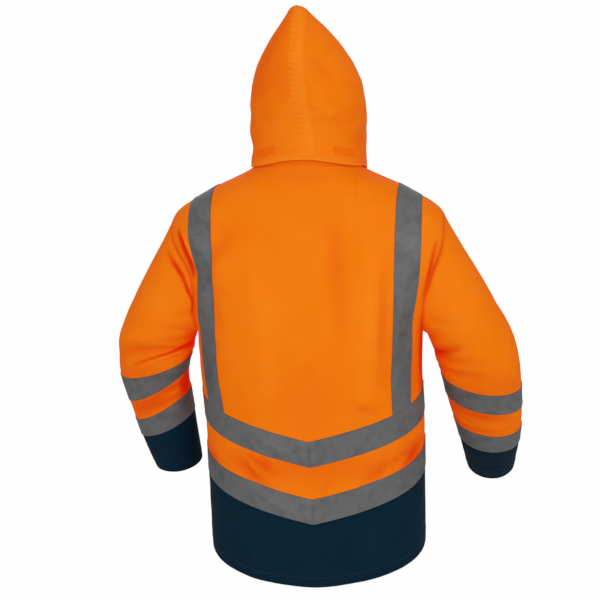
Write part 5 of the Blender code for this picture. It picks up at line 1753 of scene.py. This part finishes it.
    def grid(self, side: Side) -> ClothGrid:
        """The creased half of the hood on one side."""
        levels, shares = spans(self.levels, self.level_steps), spans(self.shares, self.share_steps)
        rows = []
        for level in levels:
            curve = self.curve(level)
            run = run_of(curve)
            rows.append(at_run(curve, run, shares * run[-1]))
        points = np.array(rows)
        closed = levels >= self.brow - 1e-9
        seams = ((slice(None), 0, 0), (closed, -1, 0), (-1, slice(None), 0))
        for seam in seams:
            points[seam] = 0.0
        normals = self.outward(points)
        u = np.broadcast_to(shares, points.shape[:2])
        crease = heights(HOOD_FOLDS[side], u, points[..., 2], self.girth)
        crease = crease + self.uneven * soft_noise(u * 0.3, points[..., 2], 0.040, 41 + side.value)
        from_ends = levels / self.calm, (levels[-1] - levels) / self.calm
        crease = crease * (smooth(u * 10) * smooth(from_ends[0][:, None]) * smooth(from_ends[1][:, None]))
        away = np.linalg.norm(np.diff(points, axis=1), axis=2).cumsum(axis=1)
        away = np.concatenate([np.zeros((len(levels), 1)), away], axis=1)
        (seam, wide), (low, tall) = self.lee_across, self.lee_up
        # painted shade on the half turned away from the light
        lee = self.turned_away[side] * (0.5 + 0.5 * smooth((away - seam) / wide))
        lee = lee * smooth((points[..., 2] - low) / tall)
        shade = np.clip(-crease / self.shade_depth + lee, 0.0, 1.0)
        points = points + normals * crease[..., None]
        normals = self.outward(points)
        for seam in seams:
            normals[seam] = 0.0
        normals = unit(normals)
        for seam in seams[:2]:
            points[seam] += self.gauge.sewn
        points[seams[2]] = self.gauge.sewn
        mirror = np.array([float(side.value), 1.0, 1.0])
        points, normals = points * mirror, normals * mirror
        moved = swung(points, self.pose)
        turned = unit(swung(points + normals * 0.001, self.pose) - moved)
        return ClothGrid(moved, turned, crease=crease, shade=shade)

    def outward(self, points: Array) -> Array:
        """Normals that point out of the hood."""
        normals = grid_normals(points)
        row, column = points.shape[0] // 3, points.shape[1] // 3
        away = points[row, column] - points[row].mean(axis=0)
        return normals if normals[row, column] @ away > 0 else -normals


@dataclass
class Hood:
    """Both halves of the hood and the hook tabs on its base."""

    form: HoodForm
    weaver: Weaver
    hook_columns: dict = field(default_factory=lambda: {Side.LEFT: (3, 6), Side.RIGHT: (4, 7)})

    def build(self) -> list[Piece]:
        """Makes the hood's pieces."""
        form, made = self.form, []
        rows = slice(form.level_steps[0], sum(form.level_steps[:2]) + 1)
        for side in Side:
            grid, name = form.grid(side), "hood_" + side.label
            made.append(self.weaver.panel(name, grid, "orange", ("collar",), seam=0.0, pucker=form.puckers[side],
                                          fells=form.fells[side]))
            first, last = (sum(form.share_steps[:column]) for column in self.hook_columns[side])
            made.append(self.weaver.strip(
                "hook_tab_" + side.label, grid.patch(rows, slice(first, last + 1)), "bottom top left right",
                self.weaver.gauge.gap, name, "hook", "hook_tape", 0.004,
            ))
        return made


@dataclass
class NeckAndZip:
    """The standing collar, the two zip tapes and their teeth."""

    cloth: TorsoCloth
    weaver: Weaver
    collar_back: float = 0.046
    collar_front: float = 0.064
    collar_rows: int = 15
    lean: float = 0.10

    def collar_grid(self) -> ClothGrid:
        """The collar on the neck seam, leaning a little inwards at the back."""
        form, top = self.cloth.form, self.cloth.form.row("top")
        back, front = self.cloth.grids[Face.BACK].points[top], self.cloth.grids[Face.FRONT].points[top]
        mid_back, mid_front = self.cloth.middle(Face.BACK), self.cloth.middle(Face.FRONT)
        zip_at, corner = form.column("zip", Face.FRONT), form.column("corner", Face.FRONT)
        reach = form.column("corner", Face.BACK)
        ring = np.concatenate([
            front[mid_front + zip_at : mid_front + corner],
            back[mid_back - reach : mid_back + reach + 1][::-1],
            front[mid_front - corner + 1 : mid_front - zip_at + 1],
        ])
        behind = behind_share(ring[:, 1])
        tall = self.collar_front + (self.collar_back - self.collar_front) * behind
        rows = []
        for share in np.linspace(0.0, 1.0, self.collar_rows):
            row = ring.copy()
            row[:, :2] *= 1 - (self.lean * behind * share)[:, None]
            row[:, 2] += self.weaver.gauge.gap + tall * share
            rows.append(row)
        points = np.array(rows)
        way = np.gradient(points, axis=1)
        out = unit(np.stack([way[..., 1], -way[..., 0], np.zeros(points.shape[:2])], axis=-1))
        out *= np.sign(np.sum(out * (points * np.array([1.0, 1.0, 0.0])), axis=-1, keepdims=True))
        return ClothGrid(points, out)

    def zip_grid(self, side: Side, collar: ClothGrid) -> ClothGrid:
        """One zip tape from the hem to the top of the collar."""
        front, middle = self.cloth.grids[Face.FRONT].points, self.cloth.middle(Face.FRONT)
        zip_at = self.cloth.form.column("zip", Face.FRONT)
        edge, centre = front[:, middle + side.value * zip_at], front[:, middle]
        collar_edge = collar.points[1:, 0] if side is Side.LEFT else collar.points[1:, -1]
        outer = np.concatenate([edge, collar_edge])
        inner = np.concatenate([centre, collar_edge * np.array([0.0, 1.0, 1.0])])
        grid = np.stack([inner, (inner + outer) / 2, outer], axis=1)
        across, up = unit(grid[:, -1] - grid[:, 0]), unit(np.gradient(grid[:, 0], axis=0))
        normal = unit(np.cross(across, up))
        normal = np.where(normal[:, 1:2] > 0, -normal, normal)
        normals = np.repeat(normal[:, None], 3, axis=1)
        gauge = self.weaver.gauge
        return ClothGrid(grid, normals).trimmed("left right", gauge.gap / 2).raised(-gauge.gap)

    def build(self) -> list[Piece]:
        """Makes the collar and the zip."""
        gauge, collar = self.weaver.gauge, self.collar_grid()
        band = collar.trimmed("left right", gauge.gap / 2)
        made = [self.weaver.panel("collar", band, "orange", ("back_panel",), pucker=1.0)]
        grids = {side: self.zip_grid(side, collar) for side in Side}
        tapes = [self.weaver.wall("cloth_zip_" + side.label, grids[side], gauge.tape, "zip_tape") for side in Side]
        left, right = grids[Side.LEFT], grids[Side.RIGHT]
        closed = ClothGrid(np.concatenate([right.points[:, ::-1], left.points], axis=1),
                           np.concatenate([right.normals, left.normals], axis=1))
        made.append(Piece(joined("cloth_zip", tapes), ("zip_left", "zip_right"), "black_tape", closed, "stretched",
                          ("front_left", "front_right")))
        return made


# ---- Repeats laid by Geometry Nodes ----


class Repeat(Labelled):
    """What is repeated along a line, with the node that makes its shape."""

    STITCH = "GeometryNodeMeshUVSphere"
    TOOTH = "GeometryNodeMeshCube"


SHAPES = {
    Repeat.STITCH: {"Segments": 5, "Rings": 4, "Radius": 1.0},
    Repeat.TOOTH: {"Size": (2.0, 2.0, 2.0)},
}


@dataclass
class Seamstress:
    """Sews rows of stitches and sets zip teeth along lines, with Geometry Nodes."""

    repeat: Repeat
    pitch: float
    length: float
    radius: float
    lines: list[Array] = field(default_factory=list)

    def tree(self) -> bpy.types.NodeTree:
        """Builds the node tree with its named inputs."""
        tree = bpy.data.node_groups.new(self.repeat.label + "_rows", "GeometryNodeTree")
        face = tree.interface
        face.new_socket("Geometry", in_out="INPUT", socket_type="NodeSocketGeometry")
        for name in ("Pitch", "Length", "Radius"):
            face.new_socket(name, in_out="INPUT", socket_type="NodeSocketFloat")
        face.new_socket("Finish", in_out="INPUT", socket_type="NodeSocketMaterial")
        face.new_socket("Geometry", in_out="OUTPUT", socket_type="NodeSocketGeometry")
        nodes, link = tree.nodes, tree.links.new
        start, end, curve, spaced, placed, tangent, turn, size, real, dressed, shape = (nodes.new(kind) for kind in (
            "NodeGroupInput", "NodeGroupOutput", "GeometryNodeMeshToCurve", "GeometryNodeResampleCurve",
            "GeometryNodeInstanceOnPoints", "GeometryNodeInputTangent", "FunctionNodeAlignRotationToVector",
            "ShaderNodeCombineXYZ", "GeometryNodeRealizeInstances", "GeometryNodeSetMaterial",
            self.repeat.value,
        ))
        spaced.mode, turn.axis = "LENGTH", "Z"
        for name, value in SHAPES[self.repeat].items():
            shape.inputs[name].default_value = value
        for source, out, target, into in (
            (start, "Geometry", curve, "Mesh"),
            (curve, "Curve", spaced, "Curve"),
            (start, "Pitch", spaced, "Length"),
            (spaced, "Curve", placed, "Points"),
            (shape, "Mesh", placed, "Instance"),
            (tangent, "Tangent", turn, "Vector"),
            (turn, "Rotation", placed, "Rotation"),
            (start, "Radius", size, "X"),
            (start, "Radius", size, "Y"),
            (start, "Length", size, "Z"),
            (size, "Vector", placed, "Scale"),
            (placed, "Instances", real, "Geometry"),
            (real, "Geometry", dressed, "Geometry"),
            (start, "Finish", dressed, "Material"),
            (dressed, "Geometry", end, "Geometry"),
        ):
            link(source.outputs[out], target.inputs[into])
        return tree

    def sew(self, name: str, finish: bpy.types.Material) -> bpy.types.Object:
        """Lays the repeats along all the lines as one plain mesh.

        Args:
            name: Name of the piece.
            finish: Its material.

        Returns:
            The new object.
        """
        points = np.concatenate(self.lines)
        edges, first = [], 0
        for line in self.lines:
            edges += [(first + i, first + i + 1) for i in range(len(line) - 1)]
            first += len(line)
        mesh = bpy.data.meshes.new(name + "_lines")
        mesh.from_pydata(points.tolist(), edges, [])
        guide = placed(name + "_lines", mesh)
        modifier = guide.modifiers.new("rows", "NODES")
        modifier.node_group = tree = self.tree()
        values = {"Pitch": self.pitch, "Length": self.length / 2, "Radius": self.radius, "Finish": finish}
        for item in tree.interface.items_tree:
            if item.in_out == "INPUT" and item.name in values:
                modifier[item.identifier] = values[item.name]
        graph = bpy.context.evaluated_depsgraph_get()
        made = bpy.data.meshes.new_from_object(guide.evaluated_get(graph), depsgraph=graph)
        made.name = name
        bpy.data.objects.remove(guide, do_unlink=True)
        return placed(name, made)


@dataclass
class Stitching:
    """All the rows of stitches and the zip's teeth."""

    pieces: dict[str, Piece]
    finishes: Finishes
    pitch: float = 0.0042
    length: float = 0.0031
    radius: float = 0.00038
    inset: float = 0.0024
    hem_insets: tuple[float, float] = (0.018, 0.0205)
    proud: float = 0.35  # height of a stitch's middle above the cloth, in radii

    def rows(self, node: str, edges: str, insets: tuple[float, ...] | None = None) -> list[Array]:
        """Lines along the named edges of a piece, a little in from each.

        Args:
            node: The CAD node that the piece stands for.
            edges: Any of bottom, top, left and right.
            insets: Distances from the edge, or None for the usual one.

        Returns:
            The lines, lying just above the cloth.
        """
        grid = self.pieces[node].grid
        made = []
        for inset in insets or (self.inset,):
            for edge in edges.split():
                made.append(self.contour(grid, grid.from_edge(edge), inset, edge in ("left", "right")))
        return made

    def contour(self, grid: ClothGrid, away: Array, inset: float, upright: bool) -> Array:
        """The line on a grid where a rising distance reaches a value."""
        points = grid.points + grid.normals * self.radius * self.proud
        if upright:
            points, away = points.transpose(1, 0, 2), away.T
        if away[0].mean() > away[-1].mean():
            points, away = points[::-1], away[::-1]
        line = np.array([[np.interp(inset, away[:, column], points[:, column, k]) for k in range(3)]
                         for column in range(points.shape[1])])
        return np.concatenate([line, line[:1]]) if grid.wrap and not upright else line

    def build(self, zip_middle: Array) -> list[Piece]:
        """Sews every row.

        Args:
            zip_middle: Points up the middle of the closed zip.

        Returns:
            The stitch pieces and the teeth.
        """
        plans = {
            "tape_stitches_body": ("grey_thread", "reflective_tape", [
                *((f"tape_{n}_{f}_{s}", "bottom top") for n in ("upper", "lower") for f in ("back", "front")
                  for s in ("left", "right")),
                *((f"brace_{f}_{s}", "left right") for f in ("back", "front") for s in ("left", "right")),
            ]),
            "tape_stitches_sleeves": ("grey_thread", "reflective_tape", [
                (f"sleeve_tape_{n}_{s}", "bottom top") for n in ("upper", "lower") for s in ("left", "right")
            ]),
            "hem_stitches": ("navy_thread", "navy_cloth", [
                ("back_hem", "bottom"), ("front_hem_left", "bottom left"), ("front_hem_right", "bottom right"),
                ("cuff_left", "top"), ("cuff_right", "top"),
            ]),
            "shell_stitches": ("orange_thread", "orange_cloth", [
                ("hood_left", "right"), ("hood_right", "right"),
                ("front_left", "left"), ("front_right", "right"), ("sleeve_left", "bottom"),
                ("sleeve_right", "bottom"), ("collar", "top left right"),
            ]),
        }
        made = []
        for name, (finish, slot, rows) in plans.items():
            needle = Seamstress(Repeat.STITCH, self.pitch, self.length, self.radius)
            for node, edges in rows:
                insets = self.hem_insets if name == "hem_stitches" else None
                needle.lines += self.rows(node, edges, insets)
            made.append(Piece(needle.sew(name, self.finishes[finish]), (), slot))
        return made + [self.teeth(zip_middle)]

    def teeth(self, middle: Array) -> Piece:
        """The two interlocked rows of teeth."""
        pitch, length, half, aside = 0.0026, 0.0015, 0.0016, 0.0011
        rows = [middle + np.array([aside, 0.0, 0.0]), middle + np.array([-aside, 0.0, pitch / 2])]
        setter = Seamstress(Repeat.TOOTH, pitch, length, half, rows)
        return Piece(setter.sew("zip_teeth", self.finishes["teeth"]), (), "black_tape")


# ---- Studio ----


@dataclass
class Studio:
    """Pale floor, soft lights and the camera behind the jacket."""

    azimuth: float = 187.5
    elevation: float = 12.4
    distance: float = 1.9
    roll: float = -1.29
    target: float = -0.279
    chest: float = -0.35  # height at which the lamps look
    lens: float = 57.96
    sensor: float = 36.0
    aside: float = -0.0163  # sideways shift of the lens
    floor: float = -1.16
    reach: float = 30.0
    backdrop: float = 0.99
    ambient: float = 0.58
    key: float = 35.0
    softboxes: tuple = (  # name, place, size, share of the key's power
        ("key", (-1.25, 2.45, 0.6), 1.5, 1.0),
        ("fill", (1.0, 2.5, -0.4), 1.8, 0.46),
        ("front", (0.6, -2.9, 1.6), 1.8, 0.8),
    )

    def build(self) -> None:
        """Sets the studio up."""
        bpy.context.scene.view_settings.view_transform = "Standard"
        self.lay_floor()
        self.light()
        self.place_camera()

    def lay_floor(self) -> None:
        """A wide pale floor that fades into the pale backdrop."""
        shader = Shader("pale_floor")
        finish = shader.dress(Base_Color=(0.55, 0.55, 0.55), Roughness=0.9, Specular_IOR_Level=0.0)
        glow = shader.add("ShaderNodeEmission", None, (1.0, 1.0, 1.0), self.backdrop)
        seen = shader.add("ShaderNodeLightPath").outputs["Is Camera Ray"]
        laid = shader.add("ShaderNodeMixShader", None, seen, shader.surface.outputs[0], glow.outputs[0])
        shader.feed(shader.tree.nodes["Material Output"].inputs["Surface"], laid.outputs[0])
        corners = [(x * self.reach, y * self.reach, self.floor) for x, y in ((-1, -1), (1, -1), (1, 1), (-1, 1))]
        thing = mesh_object("studio_floor", np.array(corners), [(0, 1, 2, 3)])
        thing.data.materials.append(finish)

    def area_light(self, name: str, place: tuple[float, float, float], size: float, power: float) -> None:
        """A square softbox that looks at the chest."""
        lamp = bpy.data.lights.new(name, "AREA")
        lamp.shape, lamp.size, lamp.energy = "SQUARE", size, power
        thing = placed(name, lamp)
        thing.location = place
        way = Vector((0.0, 0.0, self.chest)) - Vector(place)
        thing.rotation_euler = way.to_track_quat("-Z", "Y").to_euler()

    def light(self) -> None:
        """One softbox above the camera, one low at its side, one in front of the jacket, and a pale world."""
        world = bpy.context.scene.world or bpy.data.worlds.new("studio_air")
        bpy.context.scene.world = world
        world.use_nodes = True
        nodes, link = world.node_tree.nodes, world.node_tree.links.new
        seen, lit = nodes["Background"], nodes.new("ShaderNodeBackground")
        seen.inputs["Color"].default_value = lit.inputs["Color"].default_value = (1.0, 1.0, 1.0, 1.0)
        seen.inputs["Strength"].default_value = self.backdrop
        lit.inputs["Strength"].default_value = self.ambient
        path, mix = nodes.new("ShaderNodeLightPath"), nodes.new("ShaderNodeMixShader")
        for index, socket in enumerate((path.outputs["Is Camera Ray"], lit.outputs[0], seen.outputs[0])):
            link(socket, mix.inputs[index])
        link(mix.outputs[0], nodes["World Output"].inputs["Surface"])
        for name, place, size, share in self.softboxes:
            self.area_light(name, place, size, self.key * share)

    def place_camera(self) -> None:
        """The camera behind and a little above, looking between the shoulders and the waist."""
        a, e = math.radians(self.azimuth), math.radians(self.elevation)
        back = Vector((math.sin(a) * math.cos(e), -math.cos(a) * math.cos(e), math.sin(e)))
        data = bpy.data.cameras.new("studio_camera")
        data.lens, data.sensor_width, data.shift_x = self.lens, self.sensor, self.aside
        camera = placed("studio_camera", data)
        turn = (-back).to_track_quat("-Z", "Y").to_matrix() @ Matrix.Rotation(math.radians(self.roll), 3, "Z")
        camera.rotation_euler = turn.to_euler()
        camera.location = Vector((0.0, 0.0, self.target)) + back * self.distance
        bpy.context.scene.camera = camera


# ---- Assembly ----


@dataclass
class Jacket:
    """The whole jacket."""

    weaver: Weaver
    pieces: list[Piece] = field(default_factory=list)

    def build(self) -> None:
        """Makes every piece in order, so that seams share their normals."""
        cloth, weaver = TorsoCloth(), self.weaver
        makers = [*(Sleeve(side, cloth, weaver) for side in Side), Torso(cloth, weaver),
                  Hood(HoodForm(cloth.form, weaver.gauge), weaver), NeckAndZip(cloth, weaver)]
        for maker in makers:
            self.pieces += maker.build()
        named = {node: piece for piece in self.pieces for node in piece.stands_for}
        closed = named["zip_left"].grid.points
        right, left = closed.shape[1] // 2 - 1, closed.shape[1] // 2
        self.pieces += Stitching(named, weaver.finishes).build((closed[:, right] + closed[:, left]) / 2)

    def attach(self) -> None:
        for piece in self.pieces:
            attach(piece.thing, piece.body)
            if piece.stands_for:
                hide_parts(*piece.stands_for)
            if piece.grid is not None:
                width, length = piece.grid.cut()
                area = min(piece.grid.area(), width * length)
            LOG.info("%s: %d faces", piece.thing.name, len(piece.thing.data.polygons))

    def dress_metal(self) -> None:
        """Gives the slider and its pull their metal."""
        for name in ("zip_slider", "zip_pull"):
            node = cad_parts[name]
            node.data.materials.clear()
            node.data.materials.append(self.weaver.finishes["metal"])


def main() -> None:
    """Builds the jacket and its studio."""
    logging.basicConfig(level=logging.INFO, format="%(name)s: %(message)s")
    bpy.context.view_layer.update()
    jacket = Jacket(Weaver(stocked()))
    jacket.build()
    jacket.attach()
    jacket.dress_metal()
    Studio().build()


if __name__ == "__main__":
    main()
